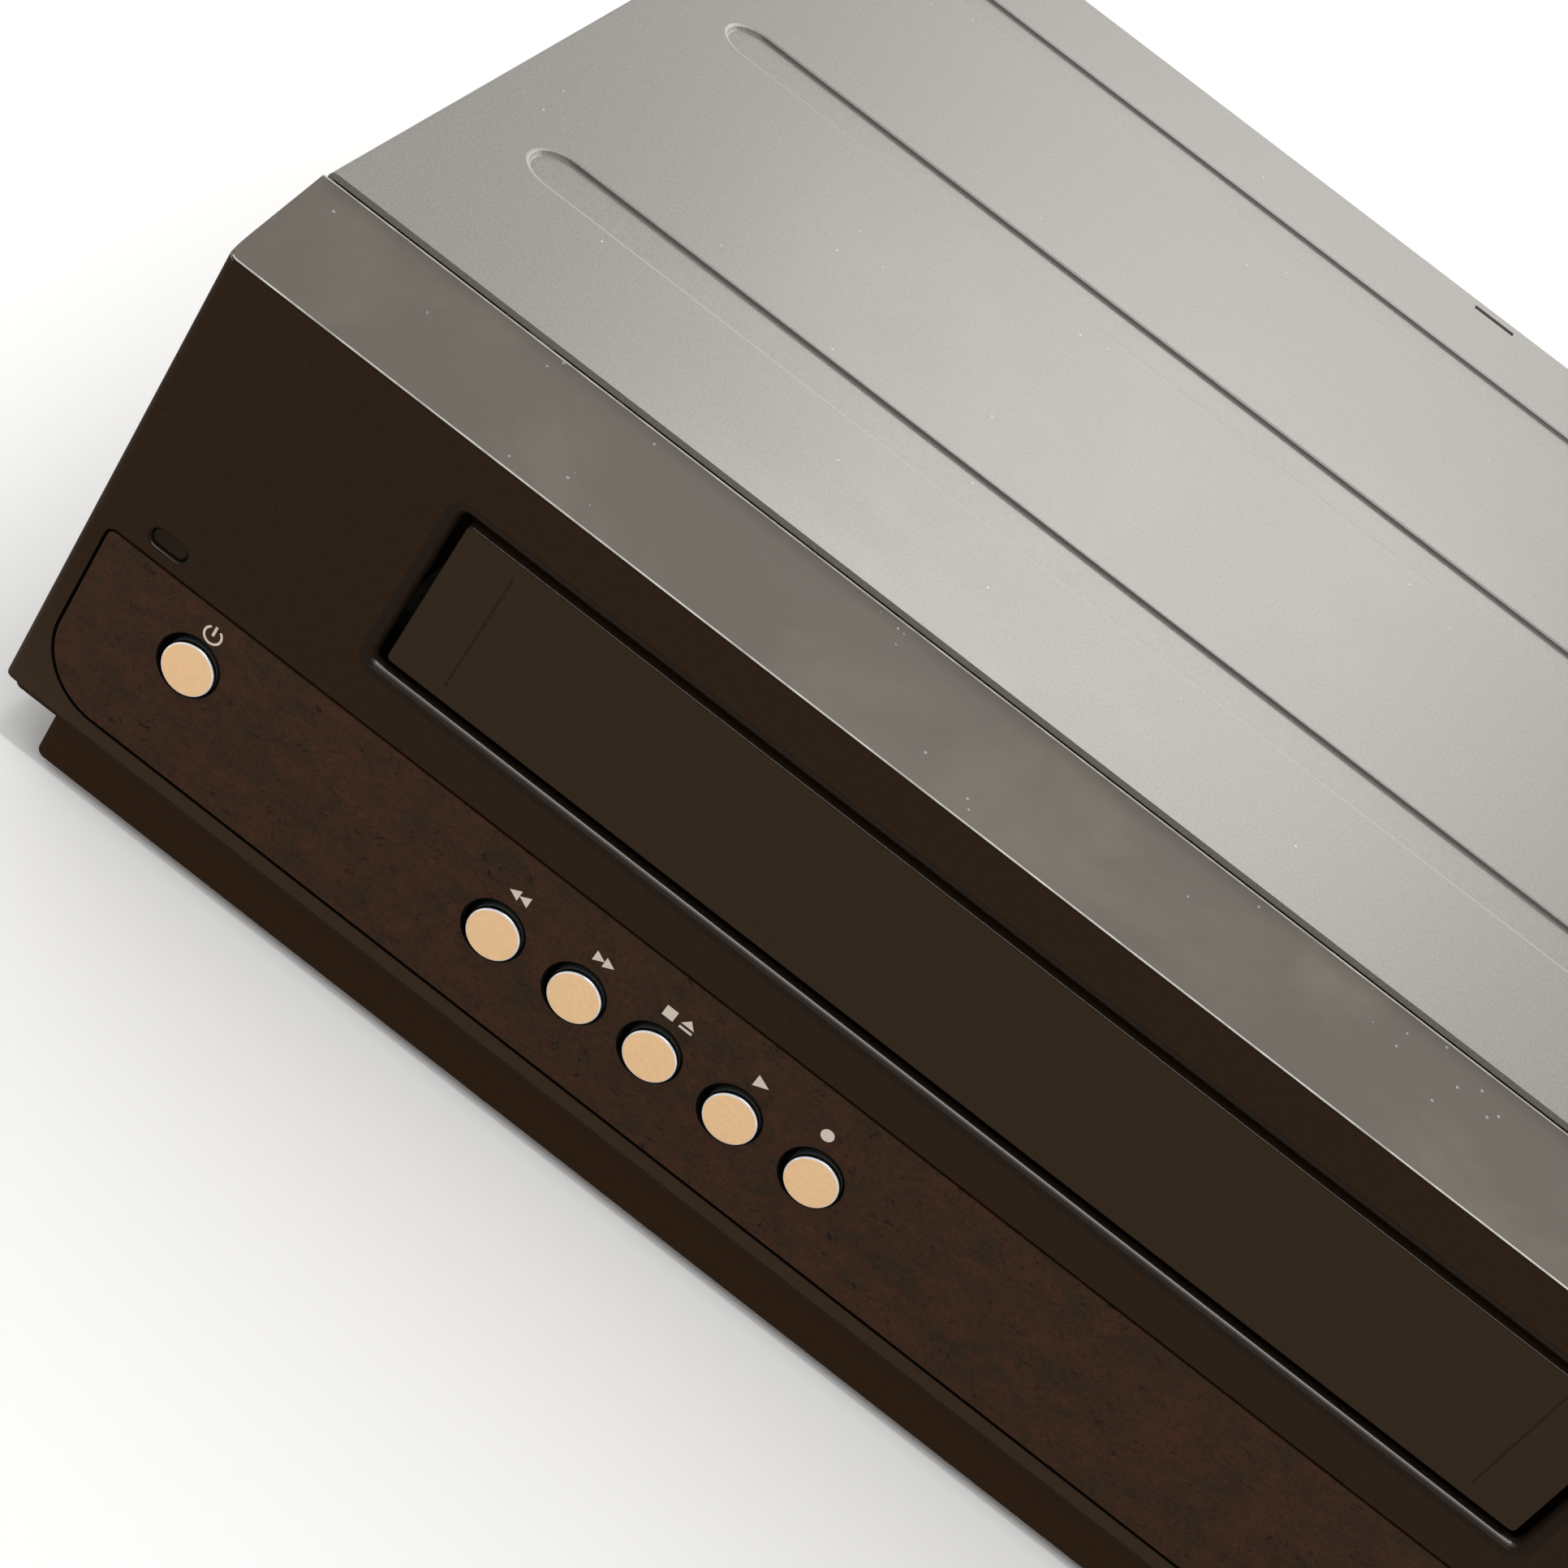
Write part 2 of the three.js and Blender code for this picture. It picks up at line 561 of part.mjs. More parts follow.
function screwAt(x, y, z, direction) {
  const turn = new THREE.Quaternion().setFromUnitVectors(new THREE.Vector3(0, 1, 0), direction);
  const place = new THREE.Matrix4().compose(new THREE.Vector3(x, y, z), turn, new THREE.Vector3(1, 1, 1));
  return screwProfileSolid(place);
}

function screwHoleX(x) {
  return barX(x, screwPlaces.sideY, screwPlaces.sideZ, screwPlaces.holeRadius, finePegSides);
}

function rearScrewX(share) {
  return machine.width * share;
}

function bottomPan() {
  const left = coverInner + pan.sideGap;
  const right = machine.width - left;
  const outer = block([left, right], [pan.front, panRear], [pan.underside, pan.sideTop]);
  const inner = block(
    [left + pan.sheet, right - pan.sheet],
    [pan.front - overrun, panRear + overrun],
    [panTop, pan.sideTop + overrun],
  );
  const besidePanel = block([0, machine.width], [0, face.bandDepth + gap], [panTop, pan.sideTop + overrun]);
  const besidePlinth = [0, machine.width - face.plinthInset - face.wall].map((x) => block(
    [x, x + face.plinthInset + face.wall],
    [0, face.bandDepth + gap],
    [pan.underside - overrun, panTop + overrun],
  ));
  let body = cut(outer, [inner, besidePanel, ...besidePlinth]);
  boardStands().forEach(([x, y]) => {
    const profile = [
      [0, panTop - pan.sheet / 2],
      [pan.standRadius + pan.bossTaper, panTop - pan.sheet / 2],
      [pan.standRadius, board.bottom - gap],
      [0, board.bottom - gap],
    ];
    body = body.add(turned(profile, x, y, finePegSides));
  });
  deckPillars().forEach(([x, y]) => {
    const profile = [
      [0, panTop - pan.sheet / 2],
      [pan.pillarRadius + pan.bossTaper, panTop - pan.sheet / 2],
      [pan.pillarRadius, deck.bottom - gap],
      [0, deck.bottom - gap],
    ];
    body = body.add(turned(profile, x, y, finePegSides));
  });
  for (let i = 0; i < pan.ventCount; i++) {
    const x = machine.width - pan.ventFromRight + i * pan.ventPitch;
    const along = [pan.ventFront, pan.ventFront + pan.ventLength];
    body = body.subtract(block([x, x + pan.ventWidth], along, [pan.underside - overrun, panTop + overrun]));
  }
  footPlaces().forEach(([x, y]) => {
    body = body.subtract(barZ(
      x,
      y,
      [pan.underside - overrun, panTop + overrun],
      footPlug.radius + 2 * gap,
      pegSides,
    ));
  });
  return cut(body, [screwHoleX([0, machine.width])]);
}

const footPlug = { radius: 2.4, height: 2.2 };

function footPlaces() {
  const columns = [foot.inset, machine.width - foot.inset];
  return [[columns[0], foot.front], [columns[1], foot.front], [columns[0], footRear], [columns[1], footRear]];
}

const footNames = ['foot_front_left', 'foot_front_right', 'foot_rear_left', 'foot_rear_right'];

function rubberFoot([x, y]) {
  const top = pan.underside - gap;
  const profile = [
    [0, 0],
    [foot.radius - foot.dish, 0],
    [foot.radius, foot.dish],
    [foot.radius, foot.soleHeight],
    [foot.neckRadius, foot.soleHeight + foot.dish],
    [foot.neckRadius, top],
    [footPlug.radius, top],
    [footPlug.radius, top + footPlug.height],
    [0, top + footPlug.height],
  ];
  return turned(profile, x, y, pegSides);
}

const standShares = [[0.06, 0.06], [0.94, 0.06], [0.06, 0.95], [0.94, 0.95], [0.62, 0.5], [0.62, 0.06]];

function boardStands() {
  return standShares.map(([across, along]) => [
    board.left + (boardRight - board.left) * across,
    board.front + (boardRear - board.front) * along,
  ]);
}

function deckPillars() {
  return [-1, 1].flatMap((side) => [deck.pillarFront, deck.pillarRear].map((y) => [
    deck.centreX + side * deck.pillarX,
    y,
  ]));
}

function rearPanel() {
  let body = block([rear.side, machine.width - rear.side], [rearFront, rearFace], [rear.bottom, rearTop]);
  const through = [rearFront - overrun, rearFace + overrun];
  const ventRows = [machine.height - rear.ventLow, machine.height - rear.ventHigh];
  for (let i = 0; i < rear.ventCount; i++) {
    const x = rear.ventLeft + i * rear.ventPitch;
    body = body.subtract(block([x, x + rear.ventWidth], through, ventRows));
  }
  const margin = rear.cutMargin;
  tunerSockets().forEach(([x, z]) => {
    body = body.subtract(barY(x, through, z, tuner.hexRadius + margin, wheelSides));
  });
  rearJackPlaces().forEach(([x, z]) => {
    body = body.subtract(barY(x, through, z, rearJacks.collarRadius + margin, pegSides));
  });
  const halfWidth = inlet.width / 2 + margin;
  const halfHeight = inlet.height / 2 + margin;
  const across = [inletX - halfWidth, inletX + halfWidth];
  body = body.subtract(block(across, through, [inlet.centreZ - halfHeight, inlet.centreZ + halfHeight]));
  rearScrewShares.forEach((share) => {
    body = body.subtract(barY(
      rearScrewX(share),
      through,
      rearScrewHeight,
      screwPlaces.holeRadius,
      finePegSides,
    ));
  });
  return body;
}

// Front of the machine

function facePanelOutline(grow) {
  const rise = bandTop - faceTop;
  const slopeLength = Math.hypot(face.bandDepth, rise);
  const bandDrop = grow * slopeLength / face.bandDepth;
  const frontTop = faceTop - bandDrop + grow * rise / face.bandDepth;
  const back = face.bandDepth + (grow > 0 ? overrun : 0);
  const backTop = bandTop - bandDrop + (back - face.bandDepth) * rise / face.bandDepth;
  return [[grow, face.bottom + grow], [back, face.bottom + grow], [back, backTop], [grow, frontTop]];
}

function cornerMask() {
  const radius = face.cornerRadius;
  const wide = face.bandDepth + overrun;
  const outline = roundedOutline([0, 0], [machine.width, wide], [radius, radius, 0, 0]);
  return plateZ(outline, [0, machine.height]);
}

function buttonHole(place) {
  const flare = button.holeFlare;
  const reach = face.wall + overrun;
  const profile = [
    [0, -overrun],
    [button.holeRadius + flare, -overrun],
    [button.holeRadius + flare, 0],
    [button.holeRadius, flare],
    [button.holeRadius, reach],
    [0, reach],
  ];
  return turnedBack(profile, place.x, place.z, wheelSides);
}

// A turned form whose axis runs back into the machine: the profile holds [radius, depth] pairs
function turnedBack(profile, x, z, sides) {
  const points = profile.map(([radius, depth]) => new THREE.Vector2(radius, depth));
  const geometry = new THREE.LatheGeometry(points, sides);
  geometry.translate(x, 0, z);
  return solid(geometry);
}

function insertOutline(shrink) {
  const left = insert.inset + shrink;
  const right = machine.width - insert.inset - shrink;
  const low = insert.cornerRadius - shrink;
  const high = insert.topRadius;
  const corner = [left, insert.bottom + shrink];
  return roundedOutline(corner, [right, insert.top - shrink], [low, low, high, high], broadCornerSteps);
}

function lampOutline(grow) {
  const halfBody = (lamp.length - lamp.height) / 2;
  return stadium(
    [lamp.x - halfBody, lamp.z],
    [lamp.x + halfBody, lamp.z],
    lamp.height / 2 + grow,
    broadCornerSteps,
  );
}

function doorEarSpan(side) {
  const armOuter = side < 0 ? door.left + door.armInset : doorRight - door.armInset;
  const inner = armOuter + side * (door.armInset + gap);
  return side < 0 ? [inner - door.earWidth, inner] : [inner, inner + door.earWidth];
}

function frontPanel() {
  const shell = plateX(facePanelOutline(0), [0, machine.width]).intersect(cornerMask());
  const hollow = plateX(facePanelOutline(face.wall), [face.wall, machine.width - face.wall]);
  const plinthTop = face.bottom + face.wall;
  const plinth = plateY(
    roundedOutline(
      [face.plinthInset, face.plinthBottom],
      [machine.width - face.plinthInset, plinthTop],
      [face.plinthRadius, face.plinthRadius, 0, 0],
    ),
    [face.plinthRecess, pan.front - gap],
  );
  let body = cut(shell, [hollow]).add(plinth);
  [-1, 1].forEach((side) => {
    const span = doorEarSpan(side);
    const deep = [face.wall - gap, door.axisDepth + door.bossRadius + gap];
    const high = [door.axisHeight - door.earHeight / 2, door.axisHeight + door.earHeight / 2];
    body = body.add(block(span, deep, high));
    const bore = [span[0] - overrun, span[1] + overrun];
    body = body.subtract(barX(bore, door.axisDepth, door.axisHeight, door.pinRadius + gap, finePegSides));
  });
  const openingLow = [door.left - door.sideGap, door.bottom - door.bottomGap];
  const openingHigh = [doorRight + door.sideGap, doorTop + door.topGap];
  body = body.subtract(flaredOpening(openingLow, openingHigh, door.openingRadius, door.softEdge, face.wall));
  body = body.subtract(plateY(insertOutline(-insert.joint), [-overrun, insert.pocket]));
  const through = [-overrun, face.wall + overrun];
  Object.values(buttonPlaces).forEach((place) => {
    body = body.subtract(barY(place.x, through, place.z, button.holeRadius, wheelSides));
  });
  jackPlaces.forEach((x) => {
    body = body.subtract(barY(x, through, jack.height, jack.holeRadius, wheelSides));
  });
  const windowLow = [screenLeft, screen.bottom];
  const windowHigh = [screenLeft + screenWidth, screen.bottom + screen.height];
  const windowRadius = door.openingRadius;
  const corners = [windowRadius, windowRadius, windowRadius, windowRadius];
  body = body.subtract(plateY(roundedOutline(windowLow, windowHigh, corners), through));
  return body.subtract(plateY(lampOutline(0), through));
}

function trimInsert() {
  let body = plateY(insertOutline(0), [0, insert.thickness]);
  Object.values(buttonPlaces).forEach((place) => {
    body = body.subtract(buttonHole(place));
  });
  jackPlaces.forEach((x) => {
    body = body.subtract(barY(x, [-overrun, face.wall], jack.height, jack.holeRadius, wheelSides));
  });
  return body;
}

function cassetteDoor() {
  const radius = door.cornerRadius;
  const outline = roundedOutline([door.left, door.bottom], [doorRight, doorTop], [
    radius,
    radius,
    radius,
    radius,
  ]);
  let body = plateY(outline, [door.recess, doorBack]);
  [-1, 1].forEach((side) => {
    const edge = side < 0 ? door.left : doorRight;
    const outer = edge - side * door.armInset;
    const inner = outer - side * door.armWidth;
    const span = [Math.min(outer, inner), Math.max(outer, inner)];
    const low = doorTop - door.armDrop;
    const arm = plateX([
      [doorBack - gap, low],
      [doorBack + door.armDepth, doorTop],
      [door.axisDepth + door.bossRadius, door.axisHeight],
      [door.axisDepth - door.bossRadius * door.armNoseShare, door.axisHeight],
      [door.axisDepth - door.bossRadius * door.armNoseShare, doorTop - radius],
      [doorBack - gap, doorTop - radius],
    ], span);
    const boss = barX(span, door.axisDepth, door.axisHeight, door.bossRadius, pegSides);
    const tip = edge + side * (gap + door.earWidth);
    const pinSpan = [Math.min(inner, tip), Math.max(inner, tip)];
    const pin = barX(pinSpan, door.axisDepth, door.axisHeight, door.pinRadius, finePegSides);
    const groove = edge - side * door.grooveInset;
    const grooveSpan = [groove - door.grooveWidth / 2, groove + door.grooveWidth / 2];
    const grooveDeep = [door.recess - overrun, door.recess + door.grooveDepth];
    const grooveHigh = [door.bottom + door.grooveMargin, doorTop - door.grooveMargin];
    body = join([body, arm, boss, pin]).subtract(block(grooveSpan, grooveDeep, grooveHigh));
  });
  return body;
}

// A torsion spring wound round the door's left pin, as one tube along a helix
function hingeSpring() {
  const steps = doorSpring.turns * doorSpring.stepsPerTurn;
  const start = door.left + gap * 2;
  const rings = [];
  for (let step = 0; step <= steps; step++) {
    const turn = 2 * Math.PI * step / doorSpring.stepsPerTurn;
    const x = start + doorSpring.pitch * step / doorSpring.stepsPerTurn;
    const ring = [];
    for (let side = 0; side < doorSpring.wireSides; side++) {
      const around = 2 * Math.PI * side / doorSpring.wireSides;
      const radius = doorSpring.meanRadius + doorSpring.wireRadius * Math.cos(around);
      ring.push([
        x + doorSpring.wireRadius * Math.sin(around),
        door.axisDepth + radius * Math.cos(turn),
        door.axisHeight + radius * Math.sin(turn),
      ]);
    }
    rings.push(ring);
  }
  const made = skin(rings);
  return made.volume() > 0 ? made : skin(rings.map((ring) => ring.slice().reverse()));
}

function pushButton(place) {
  const front = -button.standProud;
  const panelBack = face.wall + gap;
  const stemEnd = keyBoard.front - keyBoard.switchHeight - button.travel - gap;
  const profile = [
    [0, front],
    [button.radius - button.edge, front],
    [button.radius, front + button.edge],
    [button.radius, panelBack],
    [button.collarRadius, panelBack],
    [button.collarRadius, panelBack + button.collarThickness],
    [button.stemRadius, panelBack + button.collarThickness],
    [button.stemRadius, stemEnd],
    [0, stemEnd],
  ];
  return turnedBack(profile, place.x, place.z, wheelSides);
}

function lampWindow() {
  const halfBody = (lamp.length - lamp.height) / 2;
  const ends = [[lamp.x - halfBody, lamp.z], [lamp.x + halfBody, lamp.z]];
  const lens = plateY(stadium(ends[0], ends[1], lamp.height / 2 - gap), [lamp.recess, face.wall]);
  const flange = plateY(stadium(ends[0], ends[1], lamp.height / 2 + lamp.lip), [
    face.wall + gap,
    face.wall + overrun,
  ]);
  const half = lamp.barWidth / 2;
  const guideEnd = keyBoard.front - gap;
  const bar = block([lamp.x - half, lamp.x + half], [face.wall - gap, guideEnd], [
    lamp.z - half,
    lamp.z + half,
  ]);
  return join([lens, flange, bar]);
}

function displayWindow() {
  const low = [screenLeft + screen.joint, screen.bottom + screen.joint];
  const high = [screenLeft + screenWidth - screen.joint, screen.bottom + screen.height - screen.joint];
  const radius = door.openingRadius - screen.joint;
  const corners = [radius, radius, radius, radius];
  const lens = plateY(roundedOutline(low, high, corners), [
    screen.sink,
    face.wall + gap + screen.flangeThickness,
  ]);
  const grow = screen.flange;
  const flange = plateY(
    roundedOutline([low[0] - grow, low[1] - grow], [high[0] + grow, high[1] + grow], corners),
    [face.wall + gap, face.wall + gap + screen.flangeThickness],
  );
  return lens.add(flange);
}

function displayModule() {
  const windowBack = face.wall + gap + screen.flangeThickness;
  const front = windowBack + tube.behindWindow / 2;
  const left = screenLeft + tube.inset;
  const right = screenLeft + screenWidth - tube.inset;
  const middle = screen.bottom + screen.height / 2;
  const high = [middle - tube.height / 2, middle + tube.height / 2];
  const glass = block([left, right], [front, front + tube.depth], high);
  const pip = barX(
    [right - gap, right + tube.pipRadius * 2],
    front + tube.depth / 2,
    middle,
    tube.pipRadius,
    finePegSides,
  );
  const boardFront = front + tube.depth;
  const margin = tube.boardMargin;
  const card = block(
    [left - margin, right + margin],
    [boardFront - gap, boardFront + tube.boardThickness],
    [high[0] - margin, high[1] + margin],
  );
  return join([glass, pip, card]);
}

function frontKeyBoard() {
  const back = keyBoard.front + keyBoard.thickness;
  const lampStep = lamp.x + keyBoard.lampReach;
  const outline = [
    [keyBoard.left, keyBoard.bottom], [keyBoardRight, keyBoard.bottom], [keyBoardRight, keyBoard.rightTop],
    [lampStep, keyBoard.rightTop], [lampStep, keyBoard.top], [keyBoard.left, keyBoard.top],
  ];
  const card = plateY(outline, [keyBoard.front, back]);
  const half = keyBoard.switchSize / 2;
  const switches = Object.values(buttonPlaces).map((place) => block(
    [place.x - half, place.x + half],
    [keyBoard.front - keyBoard.switchHeight, keyBoard.front + gap],
    [place.z - half, place.z + half],
  ));
  return join([card, ...switches]);
}

function frontJacks() {
  const left = jackPlaces[0] - jack.bodyMargin;
  const right = jackPlaces[jackPlaces.length - 1] + jack.bodyMargin;
  const high = [jack.height - jack.bodyHeight / 2, jack.height + jack.bodyHeight / 2];
  let body = block([left, right], [jack.bodyFront, jack.bodyFront + jack.bodyDepth], high);
  jackPlaces.forEach((x) => {
    const barrel = barY(x, [jack.front, jack.bodyFront + gap], jack.height, jack.barrelRadius, pegSides);
    const collarFront = face.wall + gap;
    const collar = barY(
      x,
      [collarFront, collarFront + jack.collarThickness],
      jack.height,
      jack.collarRadius,
      pegSides,
    );
    const bore = barY(
      x,
      [jack.front - overrun, jack.front + jack.boreDepth],
      jack.height,
      jack.boreRadius,
      finePegSides,
    );
    body = join([body, barrel, collar]).subtract(bore);
  });
  return body;
}

// Electronics

function mainBoard() {
  const notch = board.notchDepth;
  const outline = [
    [board.left, board.front], [boardRight, board.front], [boardRight, boardRear - notch],
    [boardRight - notch, boardRear - notch], [boardRight - notch, boardRear], [board.left, boardRear],
  ];
  const holes = deckPillars().map(([x, y]) => barZ(
    x,
    y,
    [board.bottom - overrun, boardTop + overrun],
    pan.pillarRadius + pan.bossTaper + board.hole,
    finePegSides,
  ));
  return cut(plateZ(outline, [board.bottom, boardTop]), holes);
}

function powerTransformer() {
  const seat = boardTop + gap;
  const right = transformerLeft + transformer.width;
  const back = transformer.front + transformer.depth;
  const top = seat + transformer.height;
  const winding = block(
    [transformerLeft + transformer.flangeThickness, right - transformer.flangeThickness],
    [transformer.front + transformer.leg, back - transformer.leg],
    [seat + transformer.leg, top - transformer.leg],
  );
  const flanges = [transformerLeft, right - transformer.flangeThickness].map((x) => block(
    [x, x + transformer.flangeThickness],
    [transformer.front, back],
    [seat, top],
  ));
  const middle = (transformer.front + back) / 2;
  const half = transformer.coreThickness / 2;
  const core = block(
    [transformerLeft - transformer.coreRise, right + transformer.coreRise],
    [middle - half, middle + half],
    [seat + transformer.leg, top + transformer.coreRise],
  );
  return join([winding, core, ...flanges]);
}

function mainCapacitor() {
  const seat = boardTop + gap;
  const top = seat + capacitor.height;
  const profile = [
    [0, seat],
    [capacitor.radius, seat],
    [capacitor.radius, seat + capacitor.grooveHeight],
    [capacitor.grooveRadius, seat + capacitor.grooveHeight + capacitor.rim],
    [capacitor.radius, seat + capacitor.grooveHeight + 2 * capacitor.rim],
    [capacitor.radius, top - capacitor.rim],
    [capacitor.radius - capacitor.rim, top],
    [capacitor.radius - 2 * capacitor.rim, top],
    [capacitor.radius - 2 * capacitor.rim, top - capacitor.dish],
    [0, top - capacitor.dish],
  ];
  return turned(profile, machine.width - capacitor.fromRight, capacitor.y, wheelSides);
}

function heatSink() {
  const seat = boardTop + gap;
  const top = seat + sink.height;
  const back = sink.front + (sink.finCount - 1) * sink.finPitch + sink.finThickness;
  const web = block([sinkX, sinkX + sink.web], [sink.front, back], [seat, top]);
  const fins = [];
  for (let i = 0; i < sink.finCount; i++) {
    const y = sink.front + i * sink.finPitch;
    fins.push(block([sinkX - sink.depth / 2, sinkX + sink.depth / 2], [y, y + sink.finThickness], [
      seat,
      top,
    ]));
  }
  return join([web, ...fins]);
}

function tunerSockets() {
  const x = tunerLeft + tuner.width / 2;
  return [[x, tuner.lowSocket], [x, tuner.highSocket]];
}

function tunerCan() {
  const right = tunerLeft + tuner.width;
  const back = rearFront - gap;
  const top = tuner.bottom + tuner.height;
  const lid = tuner.lidLip;
  let body = block([tunerLeft, right], [tunerFront, back], [tuner.bottom, top]);
  const seam = top - tuner.hexRadius;
  body = body.add(block([tunerLeft - lid, right + lid], [tunerFront - lid, back], [seam, top + lid]));
  tunerSockets().forEach(([x, z]) => {
    const end = rearFace + tuner.socketReach;
    const hex = barY(x, [back - gap, rearFace + tuner.hexDepth], z, tuner.hexRadius, tuner.hexSides);
    const thread = barY(x, [back - gap, end], z, tuner.socketRadius, pegSides);
    const bore = barY(x, [end - tuner.boreDepth, end + overrun], z, tuner.boreRadius, finePegSides);
    body = join([body, hex, thread]).subtract(bore);
  });
  return body;
}

function rearJackPlaces() {
  const places = [];
  for (let column = 0; column < rearJacks.columns; column++) {
    for (let row = 0; row < rearJacks.rows; row++) {
      places.push([
        jacksLeft + rearJacks.margin + column * rearJacks.pitchX,
        rearJacks.bottom + rearJacks.margin + row * rearJacks.pitchZ,
      ]);
    }
  }
  return places;
}

function rearJackBlock() {
  const right = jacksLeft + 2 * rearJacks.margin + (rearJacks.columns - 1) * rearJacks.pitchX;
  const top = rearJacks.bottom + 2 * rearJacks.margin + (rearJacks.rows - 1) * rearJacks.pitchZ;
  const back = rearFront - gap;
  let body = block([jacksLeft, right], [machine.depth - rearJacks.fromRear, back], [rearJacks.bottom, top]);
  rearJackPlaces().forEach(([x, z]) => {
    const end = rearFace + rearJacks.reach;
    const collar = barY(
      x,
      [back - gap, rearFace + rearJacks.collarReach],
      z,
      rearJacks.collarRadius,
      pegSides,
    );
    const barrel = barY(x, [back - gap, end], z, rearJacks.barrelRadius, pegSides);
    const bore = barY(x, [end - rearJacks.boreDepth, end + overrun], z, rearJacks.boreRadius, finePegSides);
    body = join([body, collar, barrel]).subtract(bore);
  });
  return body;
}

// A two-pin mains inlet: the cord itself isn't part of the machine
function mainsInlet() {
  const halfWidth = inlet.width / 2;
  const halfHeight = inlet.height / 2;
  const low = [inletX - halfWidth, inlet.centreZ - halfHeight];
  const high = [inletX + halfWidth, inlet.centreZ + halfHeight];
  const back = rearFace + inlet.reach;
  let body = block([low[0], high[0]], [inletFront, back], [low[1], high[1]]);
  const grow = inlet.flange;
  const flangeFront = rearFront - gap - inlet.flangeReach;
  const flange = block(
    [low[0] - grow, high[0] + grow],
    [flangeFront, rearFront - gap],
    [low[1] - grow, high[1] + grow],
  );
  const foot = block([low[0], high[0]], [inletFront, flangeFront + inlet.flangeReach], [
    inlet.bottom,
    low[1] + gap,
  ]);
  const cavityHalf = inlet.cavityHeight / 2;
  const ends = [
    [inletX - inlet.cavityWidth / 2 + cavityHalf, inlet.centreZ],
    [inletX + inlet.cavityWidth / 2 - cavityHalf, inlet.centreZ],
  ];
  const cavity = plateY(stadium(ends[0], ends[1], cavityHalf), [back - inlet.cavityDepth, back + overrun]);
  body = join([body, flange, foot]).subtract(cavity);
  [-1, 1].forEach((side) => {
    const x = inletX + side * inlet.pinPitch / 2;
    const root = back - inlet.cavityDepth;
    body = body.add(barY(
      x,
      [root - gap, root + inlet.pinLength],
      inlet.centreZ,
      inlet.pinRadius,
      finePegSides,
    ));
  });
  return body;
}

// Tape deck: every place here is measured from the middle of the cassette

function fromDeck(x) {
  return deck.centreX + x;
}

function reelX(side) {
  return fromDeck(side * reel.spacing / 2);
}

function arcOutline(side, orbit, halfWidth, startAngle, endAngle) {
  const steps = 2 * broadCornerSteps;
  const points = [];
  const at = (radius, angle) => [
    fromDeck(side * radius * Math.cos(angle * radians)),
    guide.pivotY + radius * Math.sin(angle * radians),
  ];
  for (let step = 0; step <= steps; step++) {
    points.push(at(orbit + halfWidth, startAngle + (endAngle - startAngle) * step / steps));
  }
  for (let step = steps; step >= 0; step--) {
    points.push(at(orbit - halfWidth, startAngle + (endAngle - startAngle) * step / steps));
  }
  return side > 0 ? points : points.reverse();
}

function deckChassis() {
  const left = fromDeck(-deck.halfWidth);
  const right = fromDeck(deck.halfWidth);
  const corner = deck.cornerCut;
  const outline = [
    [left, deck.front], [right, deck.front], [right, deck.rear - corner], [right - corner, deck.rear],
    [left + corner, deck.rear], [left, deck.rear - corner],
  ];
  let body = plateZ(outline, [deck.bottom, deckTop]);
  [[left, left + deck.plate], [right - deck.plate, right]].forEach((span) => {
    const high = [deck.bottom - deck.skirtDepth, deckTop];
    body = body.add(block(span, [deck.front + corner * 2, deck.rear - corner * 2], high));
  });
  const through = [deck.bottom - overrun, deckTop + overrun];
  const slotAngle = guide.startAngle + guide.slotSlack;
  [-1, 1].forEach((side) => {
    body = body.subtract(plateZ(
      arcOutline(side, guide.orbit, guide.slotHalf, -slotAngle, slotAngle),
      through,
    ));
  });
  body = body.subtract(barZ(
    fromDeck(capstan.x),
    capstan.y,
    through,
    capstan.housingRadius + gap,
    wheelSides,
  ));
  body = body.subtract(barZ(fromDeck(0), clutch.y, through, clutch.shaftRadius + 2 * gap, pegSides));
  const pegs = [
    [reelX(-1), reel.y, reel.shaftRadius, reel.shaftTop],
    [reelX(1), reel.y, reel.shaftRadius, reel.shaftTop],
    [fromDeck(pinch.pivotX), pinch.pivotY, pinch.pinRadius, pinch.pinTop],
    [fromDeck(tension.pivotX), tension.pivotY, tension.pinRadius, tension.pinTop],
    [
      fromDeck(loader.gearX),
      loader.gearY,
      loader.shaftRadius,
      loader.bottom + loader.hubHeight + loader.hub / 2,
    ],
  ];
  pegs.forEach(([x, y, radius, top]) => {
    body = body.add(barZ(x, y, [deck.bottom, top], radius, finePegSides));
  });
  return body;
}

